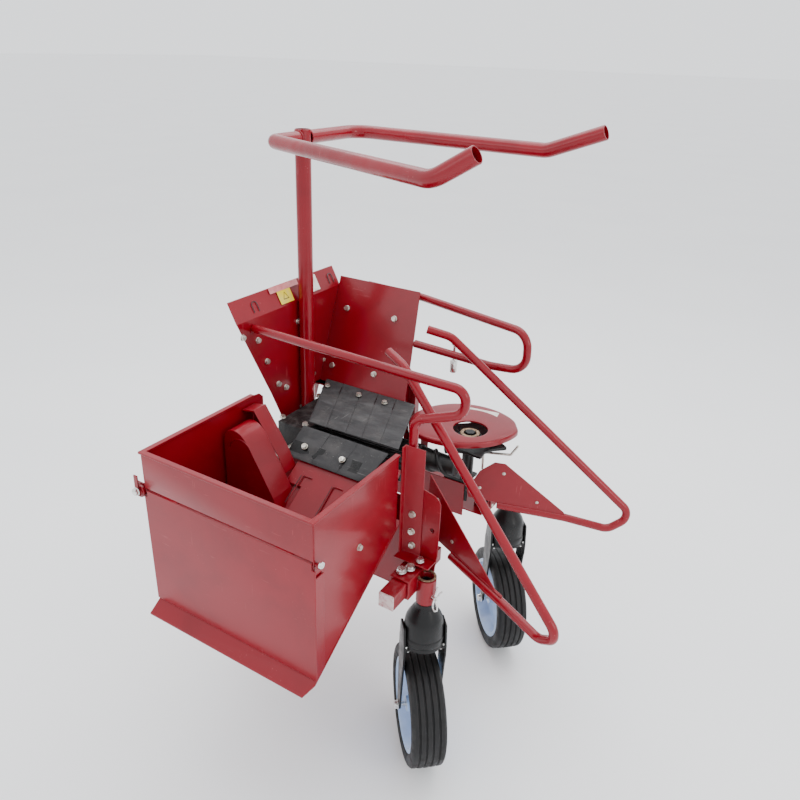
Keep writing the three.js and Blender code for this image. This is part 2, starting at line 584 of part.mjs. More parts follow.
// The belt guard's side outline: upright at the back, round on top, sloping down at the front.
function guardOutline(inset) {
  const s = new THREE.Shape();
  const back = BOX_X0 + SHEET + 8 + inset;
  s.moveTo(back, 520);
  s.lineTo(-352 - 1.3 * inset, 520);
  s.lineTo(-384 - 1.3 * inset, 606);
  s.lineTo(-448 - 1.2 * inset, 716);
  s.quadraticCurveTo(-468, 748 - inset, -490, 748 - inset);
  s.quadraticCurveTo(back, 748 - inset, back, 706 - inset);
  return s;
}
function beltGuard() {
  const body = (inset, depth) =>
    new THREE.ExtrudeGeometry(guardOutline(inset), { depth, bevelEnabled: false, curveSegments: 5 })
      .rotateX(Math.PI / 2);
  const width = GUARD_Y1 - GUARD_Y0;
  const outer = body(0, width).translate(0, GUARD_Y1, 0);
  const inner = body(SHEET, width).translate(0, GUARD_Y1 + SHEET, 0);
  const reach = 40;
  const under = crossPlate([
    [GUARD_Y0 - reach, 300], [GUARD_Y1 + reach, 300], [GUARD_Y1 + reach, floorZ(GUARD_Y1 + reach) + GAP],
    [GUARD_Y0 - reach, floorZ(GUARD_Y0 - reach) + GAP],
  ], BOX_X0, BOX_X1);
  const sideOpening = body(SHEET, 20).translate(0, GUARD_Y1 + 10, 0);
  return cut(outer, inner, sideOpening, under);
}

// A folded cover over the cross shaft, leaning from the rear panel down to the floor.
function shaftGuard() {
  const y0 = GUARD_Y1 + 4;
  const y1 = -176;
  const x0 = BOX_X0 + SHEET + 3;
  const top = [[x0, 762], [-492, 770], [-425, 672], [-406, 632]];
  const inner = top.map(([x, z]) => [x, z - SHEET * 1.5]).reverse();
  const skin = sidePlate([...top, ...inner], y0, y1);
  const face = sidePlate([[x0, 762], [x0, 700], [-462, 668], [-430, 640], [-412, 629], [-406, 632],
    [-425, 672], [-492, 770]].reverse(), y1 - SHEET, y1);
  return join(skin, face);
}

const FLAP_T = 5;
const STRIP_T = 3;
const FLAP_X0 = -438;
const FLAP_Z = 696;
const flatOutline = (points, z) => points.map(([x, y]) => v3(x, y, z));
const upperFlap = () =>
  plate(flatOutline([[-551, 145], [-437, -84], [-184, -76], [-218, 24], [-268, 145]], FLAP_Z), FLAP_T);
const upperStrip = () =>
  plate(flatOutline([[-540, 122], [-523, 84], [-246, 84], [-260, 122]], FLAP_Z + FLAP_T + GAP), STRIP_T);
const onSlope = (points, up) => points.map(([x, y]) => v3(x, y, floorZ(y) + up));
const LOWER_UP = COVER_RISE + SHEET + GAP;
const lowerFlap = () =>
  plate(onSlope([[FLAP_X0, -173], [-212, -173], [-195, -101], [FLAP_X0, -101]], LOWER_UP), FLAP_T);
const lowerStrip = () =>
  plate(onSlope([[FLAP_X0, -163], [-240, -163], [-240, -137], [FLAP_X0, -137]],
    LOWER_UP + 1.2 * (FLAP_T + GAP)), STRIP_T);

// ---------- Ear deflector behind and beside the rollers ----------
const LEAN = 0.366;              // outward lean of the far wall
const leanY = (z) => 150 + LEAN * (z - 695);
function shieldRearWall() {
  const far = leanY(945) + 2;
  const wall = crossPlate([
    [-166, 945], [-54, 725], [36, 530], [36, 445], [90, 445], [90, 560], [leanY(700) + 2, 700], [far, 945],
  ], REAR_X - SHEET, REAR_X);
  const flange = sidePlate([
    [REAR_X, 945], [REAR_X - 26, 993], [REAR_X - 26 - SHEET, 993], [REAR_X - SHEET, 944], [REAR_X, 944],
  ], -166, far);
  return join(wall, flange);
}

function shieldFarWall() {
  const x0 = REAR_X + GAP;
  const wall = plate([v3(x0, leanY(968), 968), v3(x0, leanY(693), 693), v3(-302, leanY(693), 693),
    v3(-310, leanY(800), 800), v3(-326, leanY(968), 968)], SHEET);
  const ledge = block(x0, 122, FLAP_Z - GAP - SHEET, -302, leanY(693) + 1, FLAP_Z - GAP);
  return join(wall, ledge);
}

// ---------- Mast and top rails ----------
const mast = () =>
  bentTube([v3(MAST_X, MAST_Y, 450), v3(MAST_X, MAST_Y, RAIL_Z + MAST_R)], MAST_R, 0, TUBE_WALL, 12);

function topRail(side) {
  const start = MAST_Y + side * (MAST_R + GAP);
  const corners = side < 0
    ? [v3(MAST_X, start, RAIL_Z), v3(MAST_X, -37, RAIL_Z), v3(-34, -260, RAIL_Z), v3(44, -260, RAIL_Z + 47)]
    : [v3(MAST_X, start, RAIL_Z), v3(MAST_X, 286, RAIL_Z), v3(-34, 258, RAIL_Z), v3(90, 258, RAIL_Z + 47)];
  return bentTube(corners, RAIL_R, side < 0 ? [0, 60] : [45, 60], TUBE_WALL, 10);
}

// ---------- Snapping rollers and their drive ----------
function ribbedRoller(side) {
  const y = side * ROLLER_Y;
  const core = rod(v3(ROLLER_REAR_X, y, ROLLER_Z), v3(ROLLER_NOSE_X, y, ROLLER_Z), ROLLER_R, 12);
  const [tipX, tipR] = side < 0 ? [NEAR_TIP_X, NEAR_TIP_R] : [FAR_TIP_X, FAR_TIP_R];
  const nose = rod(v3(ROLLER_NOSE_X - 1, y, ROLLER_Z), v3(tipX, y, ROLLER_Z), ROLLER_R, 12, tipR);
  const shaft = rod(v3(-524, y, ROLLER_Z), v3(ROLLER_REAR_X + 1, y, ROLLER_Z), SHAFT_R, 14);
  const ribs = [];
  const count = 6;
  for (let i = 0; i < count; i++) {
    const a = (2 * Math.PI * (i + (side > 0 ? 0.5 : 0))) / count;
    const bar = block(ROLLER_REAR_X, -3, 0, ROLLER_NOSE_X, 3, ROLLER_R + RIB).rotateX(a);
    ribs.push(bar.translate(0, y, ROLLER_Z));
  }
  return join(core, nose, shaft, ...ribs, ...noseSpiral(y, side, tipX, tipR));
}

// Short blocks that climb round the cone, one after another.
function noseSpiral(y, side, tipX, tipR) {
  const steps = 9;
  const length = tipX - ROLLER_NOSE_X - 16;
  return Array.from({ length: steps }, (_, i) => {
    const share = i / (steps - 1);
    const r = ROLLER_R + (tipR - ROLLER_R) * share;
    return block(-9, -r * 0.5, r - 6, 9, r * 0.5, r + RIB)
      .rotateX(side * 2.2 * Math.PI * share)
      .translate(ROLLER_NOSE_X + 8 + length * share, y, ROLLER_Z);
  });
}

// A spur or bevel gear about the X axis: teeth scale from the rear face to the front face.
const TEETH = 16;
function gear(pitchR, boreR, width, taper, phase) {
  const tooth = (2 * Math.PI) / TEETH;
  const moduleSize = (2 * pitchR) / TEETH;
  const tip = pitchR + 0.7 * moduleSize;
  const foot = pitchR - 1.0 * moduleSize;
  const outline = [];
  for (let i = 0; i < TEETH; i++) {
    const a = i * tooth + phase;
    const corner = (r, share) => new THREE.Vector2(r * Math.cos(a + share * tooth), r * Math.sin(a + share * tooth));
    outline.push(corner(foot, -0.3), corner(tip, -0.12), corner(tip, 0.12), corner(foot, 0.3));
  }
  const shape = new THREE.Shape(outline);
  const g = new THREE.ExtrudeGeometry(shape, { depth: width, bevelEnabled: false });
  const p = g.getAttribute("position");
  for (let i = 0; i < p.count; i++) {
    const scale = 1 + (taper - 1) * (p.getZ(i) / width);
    p.setXY(i, p.getX(i) * scale, p.getY(i) * scale);
  }
  const bore = new THREE.CylinderGeometry(boreR, boreR, width + 20, 14).rotateX(Math.PI / 2);
  return cut(g, bore.translate(0, 0, width / 2));
}

const SPUR_X = -519;
const SPUR_WIDTH = 12;
const BEVEL_R = 24;
const BEVEL_WIDTH = 10;
const alongX = (g) => g.rotateY(Math.PI / 2);
const spurGear = (side) =>
  alongX(gear(ROLLER_Y, SHAFT_R + KEY_FIT, SPUR_WIDTH, 1, side > 0 ? Math.PI / TEETH + Math.PI / 2 : Math.PI / 2))
    .translate(SPUR_X, side * ROLLER_Y, ROLLER_Z);
const BEVEL_TAPER = (BEVEL_R - BEVEL_WIDTH) / BEVEL_R;
const bevelGear = () =>
  alongX(gear(BEVEL_R, SHAFT_R + KEY_FIT, BEVEL_WIDTH, BEVEL_TAPER, 0)).rotateZ(Math.PI)
    .translate(CROSS_X + BEVEL_R, -ROLLER_Y, ROLLER_Z);
const bevelPinion = () =>
  alongX(gear(BEVEL_R, SHAFT_R + KEY_FIT, BEVEL_WIDTH, BEVEL_TAPER, Math.PI / TEETH)).rotateZ(Math.PI / 2)
    .translate(CROSS_X, -ROLLER_Y - BEVEL_R, ROLLER_Z);

const crossShaft = () => rod(v3(CROSS_X, -279, ROLLER_Z), v3(CROSS_X, -51, ROLLER_Z), SHAFT_R, 14);
function inputPulley() {
  const r = PULLEY_R;
  const outline = [[SHAFT_R + KEY_FIT, -12], [r, -12], [r, -9], [r - 12, -3], [r - 12, 3], [r, 9], [r, 12],
    [SHAFT_R + KEY_FIT, 12]];
  return turned(outline, 24).rotateX(Math.PI / 2).translate(CROSS_X, -262, ROLLER_Z);
}

const CASE = { x0: -534, x1: -446, y: 86, z0: 576, z1: 672, wall: 4 };
function gearboxCase() {
  const c = CASE;
  const shell = block(c.x0, -c.y, c.z0, c.x1, c.y, c.z1);
  const hollow = block(c.x0 + c.wall, -c.y + c.wall, c.z0 + c.wall, c.x1 - c.wall, c.y - c.wall, c.z1 + 9);
  const feet = block(c.x0, -CHANNEL_Y + GAP, c.z0, c.x1, CHANNEL_Y - GAP, c.z0 + c.wall);
  const bores = [-1, 1].map((side) =>
    rod(v3(-480, side * ROLLER_Y, ROLLER_Z), v3(c.x1 + 9, side * ROLLER_Y, ROLLER_Z), SHAFT_R + RUN, 14));
  const crossBore = rod(v3(CROSS_X, -c.y - 9, ROLLER_Z), v3(CROSS_X, -c.y + 9, ROLLER_Z), SHAFT_R + RUN, 14);
  return cut(join(shell, feet), hollow, ...bores, crossBore);
}
const gearboxLid = () => block(CASE.x0, -CASE.y, CASE.z1 + GAP, CASE.x1, CASE.y, CASE.z1 + GAP + SHEET);

// ---------- Star wheel and its cover ----------
const STAR_FINGER = [[76, -0.28], [92, -0.04], [98, 0.05], [92, 0.12], [78, 0.26]];  // radius, turn
function starWheel() {
  const s = new THREE.Shape();
  const fingers = 7;
  const points = [];
  for (let i = 0; i < fingers; i++) {
    const a = (2 * Math.PI * i) / fingers;
    for (const [r, turn] of STAR_FINGER) {
      points.push(new THREE.Vector2(r * Math.cos(a + turn), r * Math.sin(a + turn)));
    }
  }
  s.setFromPoints(points);
  const disc = new THREE.ExtrudeGeometry(s, { depth: 8, bevelEnabled: false }).translate(0, 0, STAR_Z - 8);
  const hub = rod(v3(0, 0, STAR_Z - 9), v3(0, 0, STAR_Z + 6), 30, 20);
  const bore = rod(v3(0, 0, STAR_Z - 30), v3(0, 0, STAR_Z + 30), 10 + RUN, 14);
  return cut(join(disc, hub), bore).translate(STAR_X, STAR_Y, 0);
}

// Post that the star wheel turns on, with its arm from the far side frame and a nut on top.
function starPost() {
  const arm = block(-150, CHANNEL_Y + SHEET + GAP, 552, STAR_X + 16, STAR_Y + 30, 558);
  const cheek = block(-150, CHANNEL_Y + SHEET + GAP, 500, STAR_X + 16, CHANNEL_Y + SHEET + GAP + 4, 556);
  const post = rod(v3(STAR_X, STAR_Y, 556), v3(STAR_X, STAR_Y, STAR_Z + 16), 10, 14);
  const collar = rod(v3(STAR_X, STAR_Y, 556), v3(STAR_X, STAR_Y, STAR_Z - 9 - GAP), 15, 14);
  const nut = rod(v3(STAR_X, STAR_Y, STAR_Z + 6 + GAP), v3(STAR_X, STAR_Y, STAR_Z + 16), 13, 6);
  return join(arm, cheek, post, collar, nut);
}

const COVER = { x: -117, y: 124, half: 142, near: 82, far: 140, turn: rad(33), hole: 43, skirt: 13 };
// An eye-shaped outline: a flat arc towards the row and a full one away from it, over one chord.
function coverOutline(inset) {
  const half = COVER.half - inset * 1.4;
  const points = [];
  for (const side of [1, -1]) {
    const wide = (side > 0 ? COVER.far : COVER.near) - inset;
    const r = (half * half + wide * wide) / (2 * wide);
    const spread = Math.asin((half - 6) / r);
    for (let i = 0; i <= 10; i++) {
      const a = spread * (1 - (2 * i) / 10) * side;
      const p = new THREE.Vector2(r * Math.sin(a), side * (r * Math.cos(a) - (r - wide)));
      points.push(p.rotateAround(new THREE.Vector2(), COVER.turn));
    }
  }
  return new THREE.Shape(points.reverse());
}
function starCover() {
  const full = coverOutline(0);
  const depth = COVER.skirt + SHEET;
  const body = new THREE.ExtrudeGeometry(full, { depth, bevelEnabled: false })
    .translate(COVER.x, COVER.y, COVER_Z - depth);
  const inside = new THREE.ExtrudeGeometry(coverOutline(SHEET), { depth, bevelEnabled: false })
    .translate(COVER.x, COVER.y, COVER_Z - depth - SHEET);
  const hole = rod(v3(STAR_X, STAR_Y, COVER_Z - 30), v3(STAR_X, STAR_Y, COVER_Z + 30), COVER.hole, 24);
  const strap = block(-226, 108, 560, -206, 111, COVER_Z - 1);
  const strapFoot = block(-226, CHANNEL_Y + SHEET + GAP, 505, -206, CHANNEL_Y + SHEET + GAP + 3, 563);
  const strapStep = block(-226, CHANNEL_Y + SHEET + GAP, 560, -206, 111, 563);
  return join(cut(body, inside, hole), strap, strapStep, strapFoot);
}

const wireHook = () =>
  bentTube([v3(-56, 122, 592), v3(-58, 124, 637), v3(13, 124, 653), v3(29, 124, 682)], 3, 6, 0, 6);
const hoopClamp = () =>
  join(rod(v3(-196, 205, 790), v3(-196, 205, 872), 4, 8),
    rod(v3(-196, 205, 790), v3(-196, 205, 822), 9, 10),
    rod(v3(-196, 205, 864), v3(-196, 205, 870), 9, 10));

// ---------- Rear beam, hitch plate and parking stand ----------
const BEAM = { x0: REAR_X - SHEET - GAP - 40, x1: REAR_X - SHEET - GAP, z0: 440, z1: 480, y: 199 };
const STAND = { x: BEAM.x0 + 20, z: 418, y: 150, r: 12, rodR: 8, lean: 18 };
function rearBeam() {
  const b = BEAM;
  const bar = block(b.x0, -b.y, b.z0, b.x1, b.y, b.z1);
  const hollow = block(b.x0 + 4, -b.y - 9, b.z0 + 4, b.x1 - 4, b.y + 9, b.z1 - 4);
  const hitch = crossPlate([[-80, 400], [80, 400], [80, 530], [-80, 530]], b.x0 - 8, b.x0,
    [[-60, 420, 6.5], [60, 420, 6.5], [-60, 510, 6.5], [60, 510, 6.5]]);
  const ears = [-1, 1].map((side) =>
    block(STAND.x - 14, side * (STAND.y + 20), STAND.z - 14, STAND.x + 14, side * (STAND.y + 26), b.z0 + 1));
  const pivot = rod(v3(STAND.x, -STAND.y - 22, STAND.z), v3(STAND.x, STAND.y + 22, STAND.z), STAND.rodR, 14);
  return join(cut(bar, hollow), hitch, ...ears, pivot);
}

function parkingStand() {
  const s = STAND;
  const barrel = rod(v3(s.x, -s.y - 18, s.z), v3(s.x, s.y + 18, s.z), s.r + 1, 14);
  const bore = rod(v3(s.x, -s.y - 30, s.z), v3(s.x, s.y + 30, s.z), s.rodR + RUN, 14);
  const legs = [-1, 1].map((side) =>
    rod(v3(s.x, side * s.y, s.z - s.r + 2), v3(s.x + s.lean, side * s.y, GROUND_Z + s.r), s.r, 12));
  const foot = rod(
    v3(s.x + s.lean, -s.y - 40, GROUND_Z + s.r), v3(s.x + s.lean, s.y + 40, GROUND_Z + s.r), s.r, 12);
  return join(cut(barrel, bore), ...legs, foot);
}

// ---------- Assembly ----------
add("near_side_frame", nearSideFrame(), PAINT);
add("far_side_frame", farSideFrame(), PAINT);
add("near_upright", nearUpright(), PAINT);
add("far_upright", farUpright(), PAINT);
add("near_divider_plate", dividerPlate(-1, [[-5, 0], [252, 0], [252, 152]]), PAINT);
add("far_divider_plate", dividerPlate(1, FAR_DIVIDER), PAINT);
add("near_gathering_hoop", gatheringHoop(-1), PAINT);
add("far_gathering_hoop", gatheringHoop(1), PAINT);
add("near_guard_tube", nearGuardTube(), PAINT);
add("far_guard_tube", farGuardTube(), PAINT);
add("near_axle_tube", axleTube(-330, -126), PAINT);
add("far_axle_tube", axleTube(126, 240), PAINT);
add("axle_tube_end_cap", block(AXLE_TUBE_X - AXLE_TUBE / 2, -334, AXLE_TUBE_Z - AXLE_TUBE / 2,
  AXLE_TUBE_X + AXLE_TUBE / 2, -330 - GAP, AXLE_TUBE_Z + AXLE_TUBE / 2), PAINT);
addCaster("near", -1);
addCaster("far", 1);
add("ear_box_body", earBoxBody(), PAINT);
add("ear_box_door", earBoxDoor(), PAINT);
add("door_hinge_rod", hingeRod(), ZINC);
add("door_latch", doorLatch(), PAINT);
add("chute_cover", chuteCover(), PAINT);
add("belt_guard", beltGuard(), PAINT);
add("shaft_guard", shaftGuard(), PAINT);
add("upper_flap", upperFlap(), RUBBER);
add("upper_flap_strip", upperStrip(), BLACK);
add("lower_flap", lowerFlap(), RUBBER);
add("lower_flap_strip", lowerStrip(), BLACK);
add("shield_rear_wall", shieldRearWall(), PAINT);
add("shield_far_wall", shieldFarWall(), PAINT);
add("mast", mast(), PAINT);
add("near_top_rail", topRail(-1), PAINT);
add("far_top_rail", topRail(1), PAINT);
add("near_roller", ribbedRoller(-1), CAST);
add("far_roller", ribbedRoller(1), CAST);
add("near_roller_gear", spurGear(-1), CAST);
add("far_roller_gear", spurGear(1), CAST);
add("bevel_gear", bevelGear(), CAST);
add("bevel_pinion", bevelPinion(), CAST);
add("cross_shaft", crossShaft(), ZINC);
add("input_pulley", inputPulley(), CAST);
add("gearbox_case", gearboxCase(), CAST);
add("gearbox_lid", gearboxLid(), CAST);
add("star_wheel", starWheel(), BLACK);
add("star_post", starPost(), ZINC);
add("star_cover", starCover(), PAINT);
add("wire_hook", wireHook(), ZINC);
add("hoop_clamp", hoopClamp(), ZINC);
add("rear_beam", rearBeam(), PAINT);
add("parking_stand", parkingStand(), PAINT);

// The part's origin is the middle of its footprint, on the ground.
const extent = new THREE.Box3().setFromObject(root, true);
const middle = extent.getCenter(new THREE.Vector3());
root.position.set(-middle.x, -middle.y, -extent.min.z);

export default root;
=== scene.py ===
# %% [markdown]
# # A corn picker head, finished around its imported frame
# The head hangs in front of a walking tractor: two snouts part the row, two ribbed rollers under rubber
# flaps snap the ears off, and the ears slide into a box on the right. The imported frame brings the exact
# sizes and the joints. This lesson gives every piece its real surface: drawn tube, folded sheet, moulded
# rubber, cast iron, bolts and welds.

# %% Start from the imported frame
import json
import math

import bmesh
import bpy
import numpy as np
from mathutils import Matrix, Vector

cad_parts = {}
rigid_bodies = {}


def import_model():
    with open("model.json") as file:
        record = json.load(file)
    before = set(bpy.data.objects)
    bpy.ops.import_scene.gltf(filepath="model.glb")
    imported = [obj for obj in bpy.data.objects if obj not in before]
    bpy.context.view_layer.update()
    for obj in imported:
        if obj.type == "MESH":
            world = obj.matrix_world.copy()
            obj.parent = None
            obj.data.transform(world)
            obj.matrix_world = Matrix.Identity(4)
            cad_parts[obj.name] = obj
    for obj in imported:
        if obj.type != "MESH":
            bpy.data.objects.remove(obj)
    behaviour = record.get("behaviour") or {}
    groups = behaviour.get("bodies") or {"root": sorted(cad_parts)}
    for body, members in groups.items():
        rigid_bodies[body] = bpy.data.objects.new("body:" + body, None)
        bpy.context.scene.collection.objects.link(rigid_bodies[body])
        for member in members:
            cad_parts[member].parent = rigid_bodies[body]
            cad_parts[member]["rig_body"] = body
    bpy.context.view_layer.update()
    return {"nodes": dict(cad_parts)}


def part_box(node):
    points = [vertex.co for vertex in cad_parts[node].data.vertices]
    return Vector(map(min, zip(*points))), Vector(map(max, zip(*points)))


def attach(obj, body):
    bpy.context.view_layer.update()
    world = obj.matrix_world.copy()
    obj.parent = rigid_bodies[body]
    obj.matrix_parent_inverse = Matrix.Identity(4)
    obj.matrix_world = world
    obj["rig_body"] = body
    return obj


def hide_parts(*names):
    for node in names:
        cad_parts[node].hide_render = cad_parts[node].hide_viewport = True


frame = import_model()
cad_nodes = frame["nodes"]

# %% [markdown]
# ## Where things are
# Pieces are written in millimetres in the machine's own frame: X forward, Y to the machine's left, Z up. Zero
# is 13 ahead of the caster stems, in the middle of the row, 130.5 below the axles. The near stem's box ties
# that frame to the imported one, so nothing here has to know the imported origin.

# %% The machine's own frame
MM = 0.001
STEM_X, STEM_Y, STEM_LOW_Z = -13, 227, 334
stem_low, stem_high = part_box("near_stem")
MACHINE_ZERO = np.array([
    (stem_low.x + stem_high.x) / 2 - STEM_X * MM,
    (stem_low.y + stem_high.y) / 2 + STEM_Y * MM,
    stem_low.z - STEM_LOW_Z * MM,
])


def at(points):
    """Row-frame metres = machine millimetres / 1000 + the machine's zero point."""
    return np.asarray(points, float) * MM + MACHINE_ZERO


print("machine zero in the row frame:", MACHINE_ZERO.round(4))

# %% [markdown]
# ## Putting surfaces into meshes
# Every surface below is a grid of points worked out by numpy. A grid needs only one rule for its faces: each
# cell joins a point to its neighbours, and the last row or column joins the first where the surface closes.
# Flat ends are closed by one face each.


# %% Grids, caps and pieces
def grid_faces(rows, columns, close_rows=False, close_columns=True, start=0):
    """Cell (i, j) is the quad i·columns+j, (i+1)·columns+j, (i+1)·columns+j+1, i·columns+j+1, indices wrapped."""
    i = np.arange(rows if close_rows else rows - 1)
    j = np.arange(columns if close_columns else columns - 1)
    i, j = np.meshgrid(i, j, indexing="ij")
    i1, j1 = (i + 1) % rows, (j + 1) % columns
    quads = np.stack([i * columns + j, i * columns + j1, i1 * columns + j1, i1 * columns + j], -1)
    return (quads.reshape(-1, 4) + start).tolist()


def closed_grid(points, close_rows=False):
    """A grid whose columns wrap round. Open rows get one flat face at each end."""
    rows, columns = points.shape[:2]
    faces = grid_faces(rows, columns, close_rows)
    if not close_rows:
        faces.append(list(range(columns))[::-1])
        faces.append(list(range((rows - 1) * columns, rows * columns)))
    return points.reshape(-1, 3), faces


def together(shapes):
    """Several (points, faces) shapes as one: each shape's indices move up by the points before it."""
    starts = np.cumsum([0] + [len(points) for points, _ in shapes])
    faces = [[k + int(start) for k in face] for start, (_, fs) in zip(starts, shapes) for face in fs]
    return np.concatenate([points for points, _ in shapes]), faces


def outward(mesh):
    """Turns the faces outwards where the enclosed volume, the sum of a·(b×c)/6 over triangles, is negative."""
    form = bmesh.new()
    form.from_mesh(mesh)
    bmesh.ops.recalc_face_normals(form, faces=form.faces)
    form.to_mesh(mesh)
    form.free()


def piece(name, shape, material, body="frame", stands_for=(), crease=35, bevel=0.0):
    """A piece in the row frame that rides on a body: smooth faces, sharp where they turn more than crease degrees."""
    points, faces = shape
    mesh = bpy.data.meshes.new(name)
    mesh.from_pydata(np.asarray(points).tolist(), [], faces)
    outward(mesh)
    return dress(name, mesh, material, body, stands_for, crease, bevel)


def dress(name, mesh, material, body, stands_for, crease, bevel):
    """Material, shading, rounded edges and the frame's own bookkeeping for a finished mesh."""
    mesh.materials.clear()
    mesh.materials.append(material)
    mesh.polygons.foreach_set("use_smooth", np.ones(len(mesh.polygons), bool))
    mesh.set_sharp_from_angle(angle=math.radians(crease))
    thing = bpy.data.objects.new(name, mesh)
    bpy.context.scene.collection.objects.link(thing)
    if bevel:
        edge = thing.modifiers.new("rounded edges", "BEVEL")
        edge.width = bevel * MM
        edge.segments = 2
        edge.limit_method = "ANGLE"
        edge.angle_limit = math.radians(crease)
        edge.use_clamp_overlap = True
        edge.harden_normals = False
    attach(thing, body)
    if stands_for:
        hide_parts(*stands_for)
    return thing


# %% [markdown]
# ## Shapes that are carried along a path
# Tubes, welds, wire and spring clips are all a circle carried along a line. The corners of the line are
# rounded first, as a bending die does, and then a ring of points rides along it without twisting.


# %% Bent lines and tubes
def rounded_path(corners, radii, steps=9):
    """Each corner becomes an arc tangent to both runs.

    Centre distance = r/cos(half turn); the arc starts r·tan(half turn) back from the corner.
    """
    corners = np.asarray(corners, float)
    radii = np.broadcast_to(radii, (len(corners) - 2,))
    points = [corners[:1]]
    for before, corner, after, radius in zip(corners, corners[1:], corners[2:], radii):
        a, b = before - corner, after - corner
        reach = 0.49 * min(np.linalg.norm(a), np.linalg.norm(b))
        a, b = a / np.linalg.norm(a), b / np.linalg.norm(b)
        half = math.acos(np.clip(-a @ b, -1, 1)) / 2
        if half < 0.02 or radius < 1:
            points.append(corner[None])
            continue
        back = min(radius * math.tan(half), reach)
        radius = back / math.tan(half)
        inward = (a + b) / np.linalg.norm(a + b)
        centre = corner + inward * radius / math.cos(half)
        start = corner + a * back - centre
        side = np.cross(np.cross(start, -a), start)
        side *= radius / np.linalg.norm(side)
        turn = np.linspace(0, 2 * half, steps)[:, None]
        points.append(centre + np.cos(turn) * start + np.sin(turn) * side)
    points.append(corners[-1:])
    return np.concatenate(points)


def even_steps(path, step):
    """The same line with stations at most step apart: linear interpolation over arc length, corners kept."""
    length = np.concatenate([[0], np.cumsum(np.linalg.norm(np.diff(path, axis=0), axis=1))])
    extra = np.arange(step, length[-1], step)
    s = np.unique(np.concatenate([length, extra]).round(3))
    return np.stack([np.interp(s, length, path[:, k]) for k in range(3)], 1), s


def rings(path, radius, sides, squash=1.0):
    """Ring point = station + r·(cos a · n + sin a · b), with n carried from station to station without twist."""
    tangent = np.gradient(path, axis=0)
    tangent /= np.linalg.norm(tangent, axis=1, keepdims=True)
    normal = np.zeros_like(path)
    first = np.eye(3)[np.argmin(np.abs(tangent[0]))]
    for k, t in enumerate(tangent):
        n = (normal[k - 1] if k else first)
        n = n - t * (n @ t)
        normal[k] = n / np.linalg.norm(n)
    binormal = np.cross(tangent, normal)
    angle = np.arange(sides) * 2 * np.pi / sides
    r = np.broadcast_to(radius, (len(path),))[:, None, None]
    return (path[:, None] + r * (np.cos(angle)[None, :, None] * normal[:, None]
            + squash * np.sin(angle)[None, :, None] * binormal[:, None]))


def tube(corners, radius, bend, wall=2.5, sides=24):
    """An open tube: outer rings forward, a round lip, and inner rings back make one closed surface."""
    path = rounded_path(corners, bend)
    path, _ = even_steps(path, 40)
    outer, inner = rings(path, radius, sides), rings(path, radius - wall, sides)
    lip = 0.35 * wall
    run = [path[1] - path[0], path[-1] - path[-2]]
    start, end = (v / np.linalg.norm(v) * lip for v in run)
    outer = np.concatenate([rings(path, radius - lip, sides)[:1], outer[:1] + start, outer[1:-1],
                            outer[-1:] - end, rings(path, radius - lip, sides)[-1:]])
    return closed_grid(at(np.concatenate([outer, inner[::-1]])), close_rows=True)


def wire(corners, radius, bend=0.0, sides=10):
    """A solid round bar: rings along the line, drawn in at both ends."""
    path, _ = even_steps(rounded_path(corners, bend, steps=7), 25)
    r = np.full(len(path), float(radius))
    body = rings(path, r, sides)
    tips = rings(path, r * 0.7, sides)
    tangent = [path[0] - path[1], path[-1] - path[-2]]
    out = [v / np.linalg.norm(v) * radius * 0.3 for v in tangent]
    return closed_grid(at(np.concatenate([tips[:1] + out[0], body, tips[-1:] + out[1]])))


def weld(corners, radius=2.6, ripple=3.2):
    """A weld bead: radius · (1 + 0.16·|sin(π s / ripple)|), so each pass of the torch leaves a scale."""
    path, s = even_steps(np.asarray(corners, float), ripple / 4)
    r = radius * (0.9 + 0.16 * np.abs(np.sin(np.pi * s / ripple)))
    r[[0, -1]] *= 0.4
    return closed_grid(at(rings(path, r, 8)))


# %% [markdown]
# ## Shapes that are turned or stamped
# A profile of radius and height turned about an axis makes tyres, rims, domes, washers and collars. A hexagon
# is the same thing with a radius that changes round the turn, cut off by a circle to get the head's chamfer.


# %% Turned shapes and slabs
def axes_for(axis):
    """Two unit vectors square to the axis, and the axis itself."""
    axis = np.asarray(axis, float) / np.linalg.norm(axis)
    u = np.cross(axis, np.eye(3)[np.argmin(np.abs(axis))])
    u /= np.linalg.norm(u)
    return u, np.cross(axis, u), axis


def turned(profile, centre, axis, segments=48, closed=True, relief=None):
    """Point = centre + h·axis + r·(cos a · u + sin a · v) over a profile of (r, h).

    relief adds height by (r, a).
    """
    profile = np.asarray(profile, float)
    u, v, w = axes_for(axis)
    angle = np.arange(segments) * 2 * np.pi / segments
    r, a = np.meshgrid(profile[:, 0], angle, indexing="ij")
    h = np.repeat(profile[:, 1:2], segments, 1)
    if relief is not None:
        h = h + relief(r, a)
    points = np.asarray(centre, float) + h[..., None] * w + r[..., None] * (
        np.cos(a)[..., None] * u + np.sin(a)[..., None] * v)
    return closed_grid(at(points), close_rows=closed)


def hexagon(flat, height, centre, axis, turn=0.0, stud=0.0):
    """A hexagonal head: radius = half the flats / cos(angle from the nearest flat).

    The chamfer's circle cuts it off.
    """
    u, v, w = axes_for(axis)
    a = np.arange(36) * np.pi / 18
    six = flat / 2 / np.cos((a + turn) % (np.pi / 3) - np.pi / 6)
    levels = [(0.0, np.minimum(six, flat * 0.56)), (0.12, six), (0.84, six), (1.0, np.minimum(six, flat * 0.51)),
              (1.0, np.full_like(a, flat * 0.3))]
    levels += [(1.0 + stud / height, np.full_like(a, flat * 0.3)),
               (1.02 + stud / height, np.full_like(a, flat * 0.2))]
    points = np.stack([
        np.asarray(centre, float) + share * height * w
        + r[:, None] * (np.cos(a)[:, None] * u + np.sin(a)[:, None] * v)
        for share, r in levels])
    return closed_grid(at(points))


